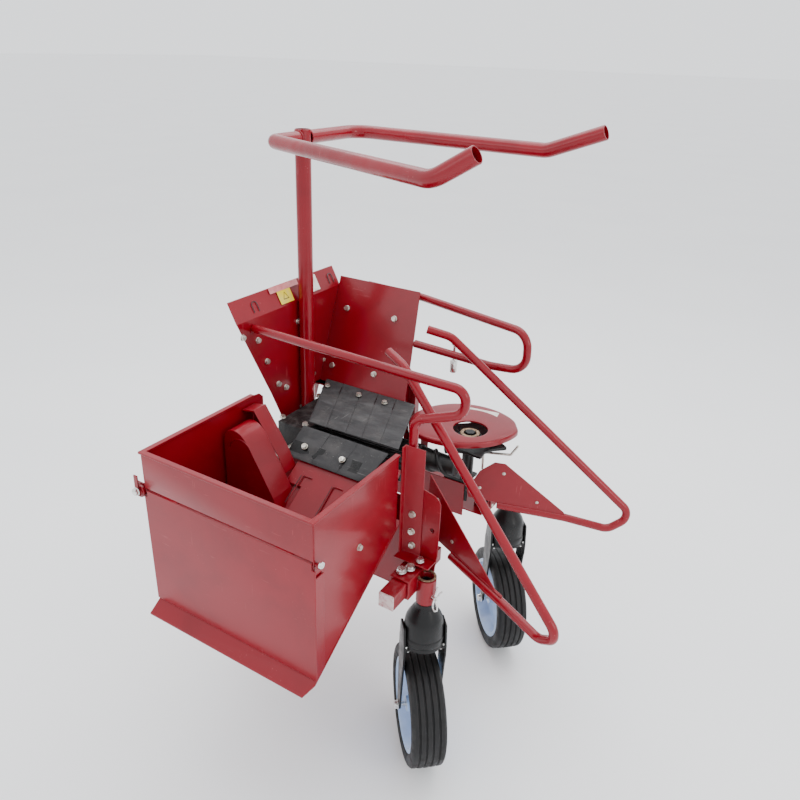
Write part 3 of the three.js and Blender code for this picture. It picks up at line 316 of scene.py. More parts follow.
def bolt(centre, axis, flat=13.0, turn=0.4, washer=True, stud=0.0):
    """A washer with rounded edges, and a hexagonal head on it."""
    centre, w = np.asarray(centre, float), axes_for(axis)[2]
    parts = []
    if washer:
        r = flat * 0.66
        parts.append(turned([(0.5, -0.4), (r - 0.3, -0.4), (r, 0.2), (r, 1.1), (r - 0.4, 1.5), (0.5, 1.5)],
                            centre, w, 28, closed=False))
        centre = centre + 1.5 * w
    parts.append(hexagon(flat, flat * 0.42, centre, w, turn, stud))
    return together(parts)


def slab(outline, thickness, corner, u, v):
    """A flat plate: outline (a, b) pairs become corner + a·u + b·v.

    The far face is that plus thickness·(u×v).
    """
    outline = np.asarray(outline, float)
    u, v = np.asarray(u, float), np.asarray(v, float)
    low = np.asarray(corner, float) + outline[:, :1] * u + outline[:, 1:] * v
    return closed_grid(at(np.stack([low, low + thickness * np.cross(u, v)])))


def rounded_outline(width, height, r, steps=5):
    """A rectangle about zero whose corners are quarter circles of radius r."""
    turn = np.linspace(0, np.pi / 2, steps)
    arc = np.stack([np.cos(turn), np.sin(turn)], 1) * r
    quarter = [arc + [width / 2 - r, height / 2 - r], arc[::-1] * [-1, 1] + [r - width / 2, height / 2 - r],
               arc * [-1, -1] + [r - width / 2, r - height / 2],
               arc[::-1] * [1, -1] + [width / 2 - r, r - height / 2]]
    return np.concatenate(quarter)


# %% [markdown]
# ## Folded and cut sheet
# A press-brake leaves a small radius on every fold, and a laser leaves a soft burr on every cut. The frame's
# sheet pieces already have the right outline, so a merged copy of each gets a live bevel: the light then
# catches each edge the way it does on real sheet.


# %% Sheet with softened edges
def soften(node, material, bevel=0.8, crease=32, body=None):
    """A merged copy of a CAD node, its flat triangles dissolved to whole faces, with rounded edges."""
    source = cad_nodes[node]
    mesh = source.data.copy()
    form = bmesh.new()
    form.from_mesh(mesh)
    bmesh.ops.remove_doubles(form, verts=form.verts, dist=1e-6)
    bmesh.ops.dissolve_limit(form, angle_limit=math.radians(0.4), verts=form.verts, edges=form.edges)
    form.to_mesh(mesh)
    form.free()
    thing = dress(node + "_fine", mesh, material, source["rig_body"], (node,), crease, bevel)
    thing.modifiers["rounded edges"].use_clamp_overlap = False
    return thing


# %% [markdown]
# ## Finishes are built from a few shared effects
# The red enamel, the black enamel and the bare metal all show the same things: dust that settles on what
# faces up, fine scratches, paint worn thin along edges. Each effect is one node group with named sockets,
# and every material places it with its own values.


# %% A short way to write node trees
class Wires:
    """Adds shader nodes to one tree. A value that is a socket is linked, and any other is set."""

    def __init__(self, tree):
        self.tree = tree

    def put(self, socket, value):
        if isinstance(value, bpy.types.NodeSocket):
            self.tree.links.new(value, socket)
        elif value is not None:
            socket.default_value = value

    def add(self, kind, settings=None, **inputs):
        made = self.tree.nodes.new("ShaderNode" + kind)
        for key, value in (settings or {}).items():
            setattr(made, key, value)
        for key, value in inputs.items():
            self.put(made.inputs[key.replace("_", " ")], value)
        return made

    def maths(self, operation, a, b=None, c=None):
        made = self.add("Math", {"operation": operation})
        for socket, value in zip(made.inputs, (a, b, c)):
            self.put(socket, value)
        return made.outputs[0]

    def between(self, value, low, high, to_low=0.0, to_high=1.0):
        made = self.add("MapRange", {"interpolation_type": "SMOOTHSTEP"}, Value=value)
        for key, number in (("From Min", low), ("From Max", high), ("To Min", to_low), ("To Max", to_high)):
            self.put(made.inputs[key], number)
        return made.outputs[0]

    def blend(self, share, a, b, mode="MIX"):
        made = self.add("Mix", {"data_type": "RGBA", "blend_type": mode})
        for index, value in ((0, share), (6, a), (7, b)):
            self.put(made.inputs[index], value)
        return made.outputs[2]

    def noise(self, place, scale, detail=3.0, rough=0.55, distortion=0.0):
        return self.add("TexNoise", Vector=place, Scale=scale, Detail=detail, Roughness=rough,
                        Distortion=distortion).outputs[0]

    def stretched(self, place, x, y, z):
        return self.add("Mapping", Vector=place, Scale=(x, y, z)).outputs[0]


def effect(name, inputs, output, build):
    """A node group: number inputs with their defaults, one mask or height out, filled by build."""
    tree = bpy.data.node_groups.new(name, "ShaderNodeTree")
    for key, value in inputs.items():
        tree.interface.new_socket(name=key, in_out="INPUT", socket_type="NodeSocketFloat").default_value = value
    tree.interface.new_socket(name=output, in_out="OUTPUT", socket_type="NodeSocketFloat")
    wires = Wires(tree)
    entry = tree.nodes.new("NodeGroupInput")
    leave = tree.nodes.new("NodeGroupOutput")
    place = tree.nodes.new("ShaderNodeTexCoord")
    tree.links.new(build(wires, entry.outputs, place), leave.inputs[output])
    return tree


# %% The shared effects
def build_dust(wires, given, place):
    up = wires.add("SeparateXYZ", Vector=place.outputs["Normal"]).outputs[2]
    facing = wires.between(up, 0.1, 0.95, 0.25, 1.0)
    cloud = wires.between(wires.noise(place.outputs["Object"], given["Scale"], 6.0, 0.62), 0.46, 0.72)
    speck = wires.between(wires.noise(place.outputs["Object"], 420.0, 2.0), 0.62, 0.74)
    film = wires.maths("ADD", wires.maths("MULTIPLY", cloud, 0.75), wires.maths("MULTIPLY", speck, 0.35))
    return wires.maths("MULTIPLY", wires.maths("MULTIPLY", film, facing), given["Amount"])


def build_wear(wires, given, place):
    edge = wires.add("NewGeometry").outputs["Pointiness"]
    corner = wires.between(edge, given["Start"], wires.maths("ADD", given["Start"], 0.06))
    broken = wires.between(wires.noise(place.outputs["Object"], given["Scale"], 5.0, 0.7), 0.42, 0.62)
    return wires.maths("MULTIPLY", wires.maths("MULTIPLY", corner, broken), given["Amount"])


def build_scratches(wires, given, place):
    masks = []
    for x, y, z in ((14, 260, 190), (210, 16, 240), (240, 190, 15)):
        lines = wires.noise(wires.stretched(place.outputs["Object"], x, y, z), 1.0, 2.0, 0.5, 0.4)
        masks.append(wires.between(lines, 0.70, 0.735))
    patch = wires.between(wires.noise(place.outputs["Object"], 9.0, 2.0), 0.48, 0.62)
    found = wires.maths("MAXIMUM", masks[0], wires.maths("MAXIMUM", masks[1], masks[2]))
    return wires.maths("MULTIPLY", wires.maths("MULTIPLY", found, patch), given["Amount"])


def build_ripple(wires, given, place):
    wave = wires.noise(place.outputs["Object"], given["Wave"], 1.0, 0.4)
    peel = wires.noise(place.outputs["Object"], given["Peel"], 2.0, 0.5)
    return wires.maths("ADD", wires.maths("MULTIPLY", wave, 1.0), wires.maths("MULTIPLY", peel, given["Share"]))


DUST = effect("settled dust", {"Scale": 8.0, "Amount": 0.3}, "Mask", build_dust)
WEAR = effect("worn edges", {"Start": 0.56, "Scale": 60.0, "Amount": 1.0}, "Mask", build_wear)
SCRATCHES = effect("fine scratches", {"Amount": 0.5}, "Mask", build_scratches)
RIPPLE = effect("sheet ripple and paint peel", {"Wave": 5.0, "Peel": 900.0, "Share": 0.02}, "Height", build_ripple)
print("shared effects:", [tree.name for tree in (DUST, WEAR, SCRATCHES, RIPPLE)])


# %% A material is its own shader with effects placed in it
def finish(name, **constants):
    """A Principled material: constants go straight on its own sockets.

    Returns the material, wires, shader, places.
    """
    material = bpy.data.materials.new(name)
    material.use_nodes = True
    tree = material.node_tree
    shader = tree.nodes["Principled BSDF"]
    for key, value in constants.items():
        shader.inputs[key.replace("_", " ")].default_value = value
    wires = Wires(tree)
    return material, wires, shader, wires.add("TexCoord").outputs


def placed(wires, group, **values):
    """One shared effect in this material, with its own values."""
    made = wires.add("Group", {"node_tree": group})
    for key, value in values.items():
        wires.put(made.inputs[key], value)
    return made.outputs[0]


def bumped(wires, shader, height, strength, distance):
    """The height, in metres of distance, tips the shader's normal."""
    bump = wires.add("Bump", Height=height, Strength=strength, Distance=distance)
    wires.put(shader.inputs["Normal"], bump.outputs[0])


# %% [markdown]
# ## Red enamel
# The head is sprayed in one glossy deep red over sheet that ripples a little, so reflections wander. The
# coat pulls thin on edges and shows a darker primer, dust dulls what faces up, and each panel has faint
# darker patches where the spray overlapped.

# %% Red enamel
RED = (0.23, 0.0003, 0.008, 1.0)
RED_DEEP = (0.14, 0.0002, 0.004, 1.0)
RED_DUSTY = (0.32, 0.03, 0.045, 1.0)
PRIMER = (0.16, 0.03, 0.028, 1.0)


def red_enamel(name, wave=3.2, ripple=0.5, dust=0.09, wear=0.4, roughness=0.3):
    material, wires, shader, place = finish(name, Coat_Weight=0.22, Coat_Roughness=0.12, Specular_IOR_Level=0.3)
    cloud = wires.between(wires.noise(place["Object"], 5.5, 4.0, 0.6, 0.6), 0.35, 0.75)
    colour = wires.blend(wires.maths("MULTIPLY", cloud, 0.55), RED, RED_DEEP)
    dusty = placed(wires, DUST, Scale=11.0, Amount=dust)
    colour = wires.blend(dusty, colour, RED_DUSTY)
    scratched = placed(wires, SCRATCHES, Amount=0.32)
    colour = wires.blend(scratched, colour, (0.52, 0.10, 0.11, 1.0))
    worn = placed(wires, WEAR, Start=0.57, Scale=70.0, Amount=wear)
    colour = wires.blend(worn, colour, PRIMER)
    wires.put(shader.inputs["Base Color"], colour)
    dull = wires.maths("MAXIMUM", worn, wires.maths("MAXIMUM", dusty, scratched))
    wires.put(shader.inputs["Roughness"], wires.between(dull, 0.0, 0.9, roughness, 0.72))
    height = placed(wires, RIPPLE, Wave=wave, Peel=650.0, Share=0.0009)
    bumped(wires, shader, height, ripple, 0.02)
    return material


red_sheet = red_enamel("red enamel on sheet")
red_tube = red_enamel("red enamel on tube", wave=22.0, ripple=0.12, dust=0.05, wear=0.15, roughness=0.26)
red_bracket = red_enamel("red enamel on thick steel", wave=30.0, ripple=0.2, dust=0.14, wear=0.7, roughness=0.34)
print("red finishes:", red_sheet.name, "/", red_tube.name, "/", red_bracket.name)


# %% [markdown]
# ## Black enamel, bare metal and cast iron
# The caster forks, the star wheel and the clamping strips are black. Bolts are zinc plated with a faint warm
# cast. Rollers and gears are oily cast iron, with a coarse skin.

# %% Black, zinc and cast iron
def black_enamel(name, roughness=0.32, grey=0.006):
    material, wires, shader, place = finish(name, Coat_Weight=0.05, Coat_Roughness=0.2, Specular_IOR_Level=0.25)
    base, worn_colour = (grey, grey, grey * 1.05, 1.0), (0.11, 0.105, 0.10, 1.0)
    dusty = placed(wires, DUST, Scale=14.0, Amount=0.1)
    worn = placed(wires, WEAR, Start=0.56, Scale=90.0, Amount=0.7)
    scratched = placed(wires, SCRATCHES, Amount=0.6)
    colour = wires.blend(dusty, base, (0.10, 0.09, 0.08, 1.0))
    colour = wires.blend(wires.maths("MAXIMUM", worn, scratched), colour, worn_colour)
    wires.put(shader.inputs["Base Color"], colour)
    uneven = wires.between(wires.noise(place["Object"], 30.0, 4.0), 0.3, 0.7, roughness - 0.08, roughness + 0.14)
    wires.put(shader.inputs["Roughness"], uneven)
    bumped(wires, shader, placed(wires, RIPPLE, Wave=60.0, Peel=900.0, Share=0.03), 0.35, 0.0012)
    return material


def plated(name, colour, dark, roughness=0.3):
    material, wires, shader, place = finish(name, Metallic=1.0)
    mottle = wires.between(wires.noise(place["Object"], 160.0, 4.0, 0.6), 0.38, 0.66)
    worn = placed(wires, SCRATCHES, Amount=0.8)
    tone = wires.blend(mottle, colour, dark)
    wires.put(shader.inputs["Base Color"], wires.blend(worn, tone, (0.75, 0.75, 0.76, 1.0)))
    wires.put(shader.inputs["Roughness"], wires.between(mottle, 0.0, 1.0, roughness, roughness + 0.2))
    bumped(wires, shader, wires.noise(place["Object"], 700.0, 2.0), 0.25, 0.0004)
    return material


def cast_iron(name):
    material, wires, shader, place = finish(name, Metallic=0.35)
    grain = wires.noise(place["Object"], 320.0, 5.0, 0.65)
    stain = wires.between(wires.noise(place["Object"], 24.0, 4.0, 0.6), 0.4, 0.7)
    rubbed = placed(wires, WEAR, Start=0.53, Scale=45.0, Amount=0.8)
    colour = wires.blend(stain, (0.004, 0.004, 0.0045, 1.0), (0.012, 0.010, 0.008, 1.0))
    wires.put(shader.inputs["Base Color"], wires.blend(rubbed, colour, (0.07, 0.068, 0.065, 1.0)))
    wires.put(shader.inputs["Roughness"], wires.between(grain, 0.3, 0.7, 0.34, 0.58))
    bumped(wires, shader, grain, 0.6, 0.0012)
    return material


black_paint = black_enamel("black enamel")
black_gloss = black_enamel("glossy black strip", 0.3, 0.004)
zinc = plated("zinc plating", (0.72, 0.70, 0.64, 1.0), (0.50, 0.47, 0.40, 1.0))
bright_zinc = plated("bright zinc", (0.82, 0.82, 0.80, 1.0), (0.62, 0.61, 0.58, 1.0), 0.24)
iron = cast_iron("oily cast iron")
print("metals:", zinc.name, "/", bright_zinc.name, "/", iron.name)


# %% [markdown]
# ## Rubber
# The flaps are reinforced sheet rubber that cobs have rubbed grey. The
# tyres are moulded black rubber, greyer on the crown of the ribs where they meet the ground.

# %% Flap rubber, tyre rubber and the pale blue rims
def flap_rubber(name):
    material, wires, shader, place = finish(name)
    streak = wires.between(wires.noise(wires.stretched(place["Object"], 9, 34, 20), 1.0, 5.0, 0.6), 0.36, 0.66)
    blotch = wires.between(wires.noise(place["Object"], 16.0, 5.0, 0.62, 0.5), 0.38, 0.68)
    scuffed = placed(wires, SCRATCHES, Amount=1.0)
    dusty = placed(wires, DUST, Scale=18.0, Amount=0.4)
    colour = wires.blend(wires.maths("MULTIPLY", streak, blotch),
                         (0.020, 0.020, 0.021, 1.0), (0.060, 0.059, 0.060, 1.0))
    colour = wires.blend(scuffed, colour, (0.12, 0.115, 0.11, 1.0))
    wires.put(shader.inputs["Base Color"], wires.blend(dusty, colour, (0.10, 0.092, 0.084, 1.0)))
    wires.put(shader.inputs["Roughness"], wires.between(blotch, 0.0, 1.0, 0.62, 0.86))
    weave = wires.noise(wires.stretched(place["Object"], 900, 260, 260), 1.0, 1.0)
    bumped(wires, shader, wires.maths("ADD", weave, wires.maths("MULTIPLY", blotch, 2.0)), 0.5, 0.0008)
    return material


def tyre_rubber(name):
    material, wires, shader, place = finish(name, Specular_IOR_Level=0.3)
    crown = placed(wires, WEAR, Start=0.505, Scale=24.0, Amount=0.8)
    dusty = placed(wires, DUST, Scale=22.0, Amount=0.08)
    blotch = wires.between(wires.noise(place["Object"], 40.0, 5.0, 0.6), 0.35, 0.7)
    colour = wires.blend(wires.maths("MULTIPLY", blotch, 0.5),
                         (0.007, 0.007, 0.0075, 1.0), (0.018, 0.0175, 0.017, 1.0))
    colour = wires.blend(crown, colour, (0.045, 0.044, 0.043, 1.0))
    wires.put(shader.inputs["Base Color"], wires.blend(dusty, colour, (0.13, 0.115, 0.10, 1.0)))
    wires.put(shader.inputs["Roughness"], wires.between(blotch, 0.0, 1.0, 0.5, 0.74))
    bumped(wires, shader, wires.noise(place["Object"], 500.0, 4.0, 0.6), 0.3, 0.0008)
    return material


def rim_enamel(name):
    material, wires, shader, place = finish(name, Coat_Weight=0.3, Coat_Roughness=0.15)
    cloud = wires.between(wires.noise(place["Object"], 18.0, 4.0), 0.35, 0.7)
    colour = wires.blend(cloud, (0.40, 0.55, 0.80, 1.0), (0.31, 0.45, 0.70, 1.0))
    dusty = placed(wires, DUST, Scale=20.0, Amount=0.35)
    worn = placed(wires, WEAR, Start=0.56, Scale=60.0, Amount=0.5)
    colour = wires.blend(dusty, colour, (0.42, 0.38, 0.33, 1.0))
    wires.put(shader.inputs["Base Color"], wires.blend(worn, colour, (0.22, 0.22, 0.24, 1.0)))
    wires.put(shader.inputs["Roughness"], wires.between(cloud, 0.0, 1.0, 0.28, 0.42))
    bumped(wires, shader, placed(wires, RIPPLE, Wave=30.0, Peel=700.0, Share=0.05), 0.2, 0.002)
    return material


worn_rubber = flap_rubber("worn flap rubber")
tyre_black = tyre_rubber("tyre rubber")
rim_blue = rim_enamel("pale blue rim enamel")
print("rubber and rims:", worn_rubber.name, "/", tyre_black.name, "/", rim_blue.name)


# %% Labels, painted slot shade, the end cap's painted highlight and the worn bore
def printed(name, colour, faded):
    material, wires, shader, place = finish(name, Coat_Weight=0.4, Coat_Roughness=0.12)
    old = wires.between(wires.noise(place["Object"], 60.0, 5.0, 0.6), 0.42, 0.7)
    wires.put(shader.inputs["Base Color"], wires.blend(old, colour, faded))
    wires.put(shader.inputs["Roughness"], wires.between(old, 0.0, 1.0, 0.3, 0.5))
    return material


label_yellow = printed("yellow label film", (0.80, 0.62, 0.02, 1.0), (0.70, 0.56, 0.10, 1.0))
label_white = printed("white label film", (0.80, 0.78, 0.70, 1.0), (0.62, 0.55, 0.48, 1.0))
label_pink = printed("faded label film", (0.66, 0.24, 0.24, 1.0), (0.56, 0.16, 0.17, 1.0))
label_ink = printed("label ink", (0.02, 0.02, 0.02, 1.0), (0.06, 0.05, 0.04, 1.0))
# The slot material is painted shade: a near-black red standing for the shadow inside a cut slot.
shadow_gap = printed("cut slot, painted shade inside", (0.012, 0.001, 0.002, 1.0), (0.03, 0.003, 0.005, 1.0))
# The end cap's pale colour is a painted highlight, the white glare on its face, broken by patches of rubbed red
# paint.
cap_painted_highlight = printed("end cap, painted pale highlight over rubbed red", (0.62, 0.50, 0.48, 1.0), (0.36, 0.06, 0.07, 1.0))
worn_bore = plated("rubbed steel with old grease", (0.42, 0.30, 0.20, 1.0), (0.20, 0.13, 0.09, 1.0), 0.5)
print("labels and worn ends ready")

# %% [markdown]
# ## Sheet, plate and box pieces
# These keep the frame's own outline and get softened edges. The ear box, its door, the deflector walls and
# the guards are thin sheet, so they take the rippled enamel. Brackets and square tube are thick steel.

# %% Sheet pieces
SHEET_NODES = ["near_side_frame", "far_side_frame", "near_upright", "far_upright", "near_divider_plate",
               "far_divider_plate", "ear_box_body", "ear_box_door", "chute_cover", "belt_guard", "shaft_guard",
               "shield_rear_wall", "shield_far_wall"]
for node in SHEET_NODES:
    soften(node, red_sheet, bevel=0.9)
THICK_NODES = ["near_axle_tube", "far_axle_tube", "near_caster_bracket",
               "far_caster_bracket", "rear_beam", "parking_stand", "door_latch"]
for node in THICK_NODES:
    soften(node, red_bracket, bevel=1.4)
for node in ("near_roller_gear", "far_roller_gear", "bevel_gear", "bevel_pinion", "input_pulley",
             "gearbox_case", "gearbox_lid"):
    soften(node, iron, bevel=0.6)
for node, coat in (("cross_shaft", zinc), ("star_post", black_paint), ("door_hinge_rod", red_bracket)):
    soften(node, coat, bevel=0.5)
# The end cap gets the painted pale highlight with patches of rubbed red paint.
soften("axle_tube_end_cap", cap_painted_highlight, bevel=1.4)
soften("star_wheel", black_paint, bevel=1.6)
soften("upper_flap_strip", black_gloss, bevel=0.8)
soften("lower_flap_strip", black_gloss, bevel=0.8)
print("softened", len(SHEET_NODES) + len(THICK_NODES) + 13, "nodes")

# %% [markdown]
# ## The bent tubes
# Each tube repeats the frame's centre line, with its corners bent as true arcs. The hoops' noses are bent
# tight, and their tops sweep inwards over the rollers.

# %% Hoops, guards, mast and top rails
GUARD_R = 10
RAIL_R = 16
NOSE, HEEL = (130, 182, 500), (-15, 122, 514)


def divider_axes(side):
    """Unit vectors of a divider: back along the hoop's leg, and upwards square to it."""
    nose = np.array([NOSE[0], side * NOSE[1], NOSE[2]], float)
    back = np.array([HEEL[0], side * HEEL[1], HEEL[2]]) - nose
    back /= np.linalg.norm(back)
    out = np.cross(back, [0, 0, 1])
    out /= np.linalg.norm(out)
    up = np.cross(back, out)
    up *= np.sign(up[2]) or 1
    return nose, back, up / np.linalg.norm(up), out


def on_divider(side, along, height, off=0.0):
    nose, back, up, out = divider_axes(side)
    return nose + along * back + height * up + off * out


def hoop_line(side):
    drop = GUARD_R + 1.3
    return [(-213, side * 86, 936), (-160, side * 108, 922), (-98, side * 129, 866), (295, side * 254, 512),
            (246, side * 227, 470), on_divider(side, -20, -drop), on_divider(side, 150, -drop)]


for label, side in (("near", -1), ("far", 1)):
    piece(f"{label}_hoop_tube", tube(hoop_line(side), GUARD_R, [50, 90, 34, 34, 80]), red_tube,
          stands_for=(f"{label}_gathering_hoop",))
NEAR_GUARD = [(-574.7, -112, 918), (-127, -180, 942), (22, -176, 938), (18, -172, 884), (-84, -188, 850),
              (-81, -190, 722)]
piece("near_guard_bent_tube", tube(NEAR_GUARD, GUARD_R, [200, 30, 30, 26]), red_tube,
      stands_for=("near_guard_tube",))
FAR_GUARD = [(-500, 270, 948), (-330, 268, 945), (-2, 190, 940), (2, 190, 846), (-90, 190, 838),
             (-299, 183, 850)]
piece("far_guard_bent_tube", tube(FAR_GUARD, GUARD_R, [120, 40, 40, 120]), red_tube,
      stands_for=("far_guard_tube",))
MAST = (-557, 68)
MAST_R = 19
RAIL_Z = 1337
piece("mast_tube", tube([(*MAST, 450), (*MAST, RAIL_Z + MAST_R)], MAST_R, []), red_tube,
      stands_for=("mast",))
NEAR_RAIL = [(MAST[0], MAST[1] - MAST_R - 0.3, RAIL_Z), (MAST[0], -37, RAIL_Z), (-34, -260, RAIL_Z),
             (44, -260, RAIL_Z + 47)]
FAR_RAIL = [(MAST[0], MAST[1] + MAST_R + 0.3, RAIL_Z), (MAST[0], 286, RAIL_Z), (-34, 258, RAIL_Z),
            (90, 258, RAIL_Z + 47)]
piece("near_rail_tube", tube(NEAR_RAIL, RAIL_R, [22, 60]), red_tube, stands_for=("near_top_rail",))
piece("far_rail_tube", tube(FAR_RAIL, RAIL_R, [45, 60]), red_tube, stands_for=("far_top_rail",))
print("bent tubes: 2 hoops, 2 guards, mast and 2 rails")

# %% [markdown]
# ## Casters
# A caster is a fork that swivels on a stem and a wheel that trails behind it. The fork's crown carries a
# pressed dome whose neck flares up to the stem. The tyre has four grooves round it, and the rim is a
# pale blue pressed dish. All of it is worked out in the caster's own frame, X along the rolling direction,
# and then turned to the caster's yaw.

# %% The caster's own frame
YAW = math.radians(-49)
ROLL = np.array([math.cos(YAW), math.sin(YAW), 0.0])
AXLE = np.array([-math.sin(YAW), math.cos(YAW), 0.0])
UP = np.array([0.0, 0.0, 1.0])
WHEEL_R, AXLE_Z, TRAIL, LEG_IN, LEG_T = 141.5, 130.5, 6, 44, 5
CROWN_Z, CROWN_T, LEG_TOP_Z = 326, 6, 384


def in_caster(side, x, y, z):
    """Caster-frame (x, y, z) = stem + x·roll + y·axle + z·up."""
    return np.array([STEM_X, side * STEM_Y, 0.0]) + x * ROLL + y * AXLE + z * UP


def tyre_profile():
    """Crown r = R - 1.6·(y/33)² - 3.6·Σ soft step round each of four grooves; then shoulder, wall and bead."""
    y = np.linspace(-33, 33, 89)
    grooves = sum(1 / (1 + np.exp((np.abs(y - g) - 1.9) * 3.0)) for g in (-22.5, -7.5, 7.5, 22.5))
    crown = np.stack([WHEEL_R - 0.9 - 1.6 * (y / 33) ** 2 - 3.6 * grooves, y], 1)
    wall = np.array([(137.2, 35.8), (134.4, 38.0), (131.0, 39.3), (126.5, 39.8), (117.6, 39.8), (116.8, 39.1),
                     (115.8, 39.6), (112.6, 37.8), (108.4, 35.2), (100.6, 26.9)])
    other = wall[::-1] * [1, -1]
    return np.concatenate([crown, wall, other])


def rim_profile():
    """A pressed dish: bead seats at both edges, a drop centre, and a web that joins the hub."""
    edge = [(86, -5.2), (90, -7), (92.5, -12), (96.5, -33), (99, -36), (107.4, -36), (108, -35.3), (107.4, -34.2),
            (100.1, -27.6), (100, -26)]
    back = [(r, -h) for r, h in edge[:3:-1]]
    return ([(6.7, -30), (17, -30), (18, -29), (19.5, -8), (24, -6.5)] + edge + back
            + [(93, 12), (90, 2.4), (86, 0), (24, 0.8), (20.5, 2), (18.5, 29), (17.5, 30), (6.7, 30)])


def pressed_ribs(r, a):
    """Six shallow ribs in the web: 1.8·exp(-(angle off a rib · r / 9)²), faded out at hub and rim."""
    off = (a + np.pi / 6) % (np.pi / 3) - np.pi / 6
    band = np.clip((r - 28) / 8, 0, 1) * np.clip((86 - r) / 6, 0, 1)
    return -1.8 * np.exp(-(off * r / 9) ** 2) * band


DOME = [(15.7, 443.6), (19.8, 443.6), (20.3, 442.5), (21.0, 436), (24.0, 430), (29, 423), (33.8, 414), (38.5, 406.5),
        (41.8, 398), (43.8, 386), (45.0, 372), (45.2, 360), (46.4, 358.5), (46.8, 356.5), (46.8, 345), (46.4, 343.2),
        (45.7, 342.4), (46.3, 341), (46.3, 332.2), (15.7, 332.2)]


def caster_fork(side):
    """The dome turned about the stem, a crown plate, and two legs that taper to the axle."""
    zero = in_caster(side, 0, 0, 0)
    dome = turned(DOME, zero, UP, 56)
    wide = LEG_IN + LEG_T
    crown = slab(rounded_outline(55.6, 2 * wide - 0.6, 6), CROWN_T, zero + CROWN_Z * UP, ROLL, AXLE)
    tip = np.linspace(math.radians(188), math.radians(352), 9)
    low = np.stack([-TRAIL + 12.6 * np.cos(tip), AXLE_Z + 2.6 + 12 * np.sin(tip)], 1)
    high = np.array([(26, CROWN_Z - 32), (28, CROWN_Z - 24), (28, CROWN_Z + 4), (26, CROWN_Z + 14),
                     (20, LEG_TOP_Z - 3),
                     (16, LEG_TOP_Z)])
    outline = np.concatenate([low, high, high[::-1] * [-1, 1]])
    legs = [slab(outline, LEG_T, zero + y * AXLE, ROLL, UP) for y in (wide, -LEG_IN)]
    return together([dome, crown, *legs])


def axle_end(side, sign):
    """Washer, nut and the bolt's end outside one leg; the plain head goes on the other side."""
    start = in_caster(side, -TRAIL, sign * (LEG_IN + LEG_T + 0.3), AXLE_Z)
    return bolt(start, sign * AXLE, flat=18, stud=6.0 if sign > 0 else 0.0)


PIN_Z = 470


def spring_clip(side):
    """An R-shaped spring clip through the lock pin: one straight leg, and one leg bent over the pin in two bows."""
    yaw = math.radians(20)
    out = np.array([math.cos(yaw), -math.sin(yaw), 0.0])
    across = np.array([math.sin(yaw), math.cos(yaw), 0.0])
    pin = np.array([STEM_X, side * STEM_Y, PIN_Z]) + 28.3 * out
    flat = [(26, 0), (-17, 0), (-24, 3), (-27, 9), (-22, 15), (-15, 14),
            (-8, 7.5), (0, 5.6), (8, 7.5), (15, 10), (24, 15)]
    return wire([pin + a * across * 0.25 + (a * UP) + b * out for a, b in flat], 2.0, 4.0, 10)


for label, side in (("near", -1), ("far", 1)):
    hub = in_caster(side, -TRAIL, 0, AXLE_Z)
    piece(f"{label}_fork_pressed", caster_fork(side), black_paint, f"{label}_fork",
          (f"{label}_caster_fork",), 30, 1.0)
    piece(f"{label}_tyre_ribbed", turned(tyre_profile(), hub, AXLE, 128), tyre_black, f"{label}_wheel",
          (f"{label}_tyre",), 60)
    piece(f"{label}_rim_pressed", turned(rim_profile(), hub, AXLE, 96, relief=pressed_ribs), rim_blue,
          f"{label}_wheel", (f"{label}_rim",), 40)
    tip = LEG_IN + LEG_T
    shank = turned([(0.6, -tip - 6), (5.9, -tip - 5), (5.9, tip + 7), (0.6, tip + 8)], hub, AXLE, 28, closed=False)
    ends = [axle_end(side, sign) for sign in (1, -1)]
    piece(f"{label}_axle_bolt_fine", together([shank, *ends]), bright_zinc, f"{label}_fork",
          (f"{label}_axle_bolt",))
    crown_bolts = [bolt(in_caster(side, x, y, CROWN_Z + CROWN_T), UP, flat=8, turn=0.2 * x)
                   for x in (-20, 20) for y in (-43, 43)]
    under = [hexagon(8, 5, in_caster(side, x, y, CROWN_Z), -UP) for x in (-20, 20) for y in (-37, 37)]
    piece(f"{label}_crown_bolts", together(crown_bolts + under), bright_zinc, f"{label}_fork")
    socket = np.array([STEM_X, side * STEM_Y, 0.0])
    pin_yaw = math.radians(20)
    pin_out = np.array([math.cos(pin_yaw), -math.sin(pin_yaw), 0.0])
    pin = wire([socket + PIN_Z * UP + s * pin_out for s in (-30.5, 31.2)], 3.9, sides=16)
    pin_head = turned([(0.5, 0), (6.5, 0), (7, 0.6), (7, 3.4), (6.4, 4), (0.5, 4)],
                      socket + PIN_Z * UP - 28 * pin_out, -pin_out, 24, closed=False)
    piece(f"{label}_lock_pin_fine", together([pin, pin_head, spring_clip(side)]), bright_zinc,
          stands_for=(f"{label}_lock_pin",))
    piece(f"{label}_stem_fine", turned([(15, 335), (15, 496.5), (14, 498), (11.4, 498), (11, 497), (11, 335)],
                                       socket, UP, 40), black_paint,
          stands_for=(f"{label}_stem",))
    piece(f"{label}_socket_lip", turned([(15.8, 510.5), (15.8, 512.2), (16.4, 512.4), (20.7, 512.4), (21.1, 512.0),
                                         (21.1, 511.6)], socket, UP, 40), worn_bore)
print("two casters, each with fork, tyre, rim, axle bolt, lock pin, clip and stem")

# %% [markdown]
# ## The snapping rollers
# Each roller is one iron casting: six straight ribs grip the stalk, and the nose tapers with a coarse spiral
# that feeds the stalk in. The whole surface is one radius as a function of place along the roller and angle.

# %% Ribbed rollers with spiral noses
ROLLER_R, RIB, ROLLER_Y, ROLLER_Z = 27, 5, 38, 625
ROLLER_REAR, ROLLER_NOSE = -436, -190
TIPS = {-1: (-150, 18), 1: (-86, 21)}


def step(x, edge, width):
    """Smooth step: 1 / (1 + exp(-(x - edge) / width))."""
    return 1 / (1 + np.exp(-np.clip((x - edge) / width, -40, 40)))


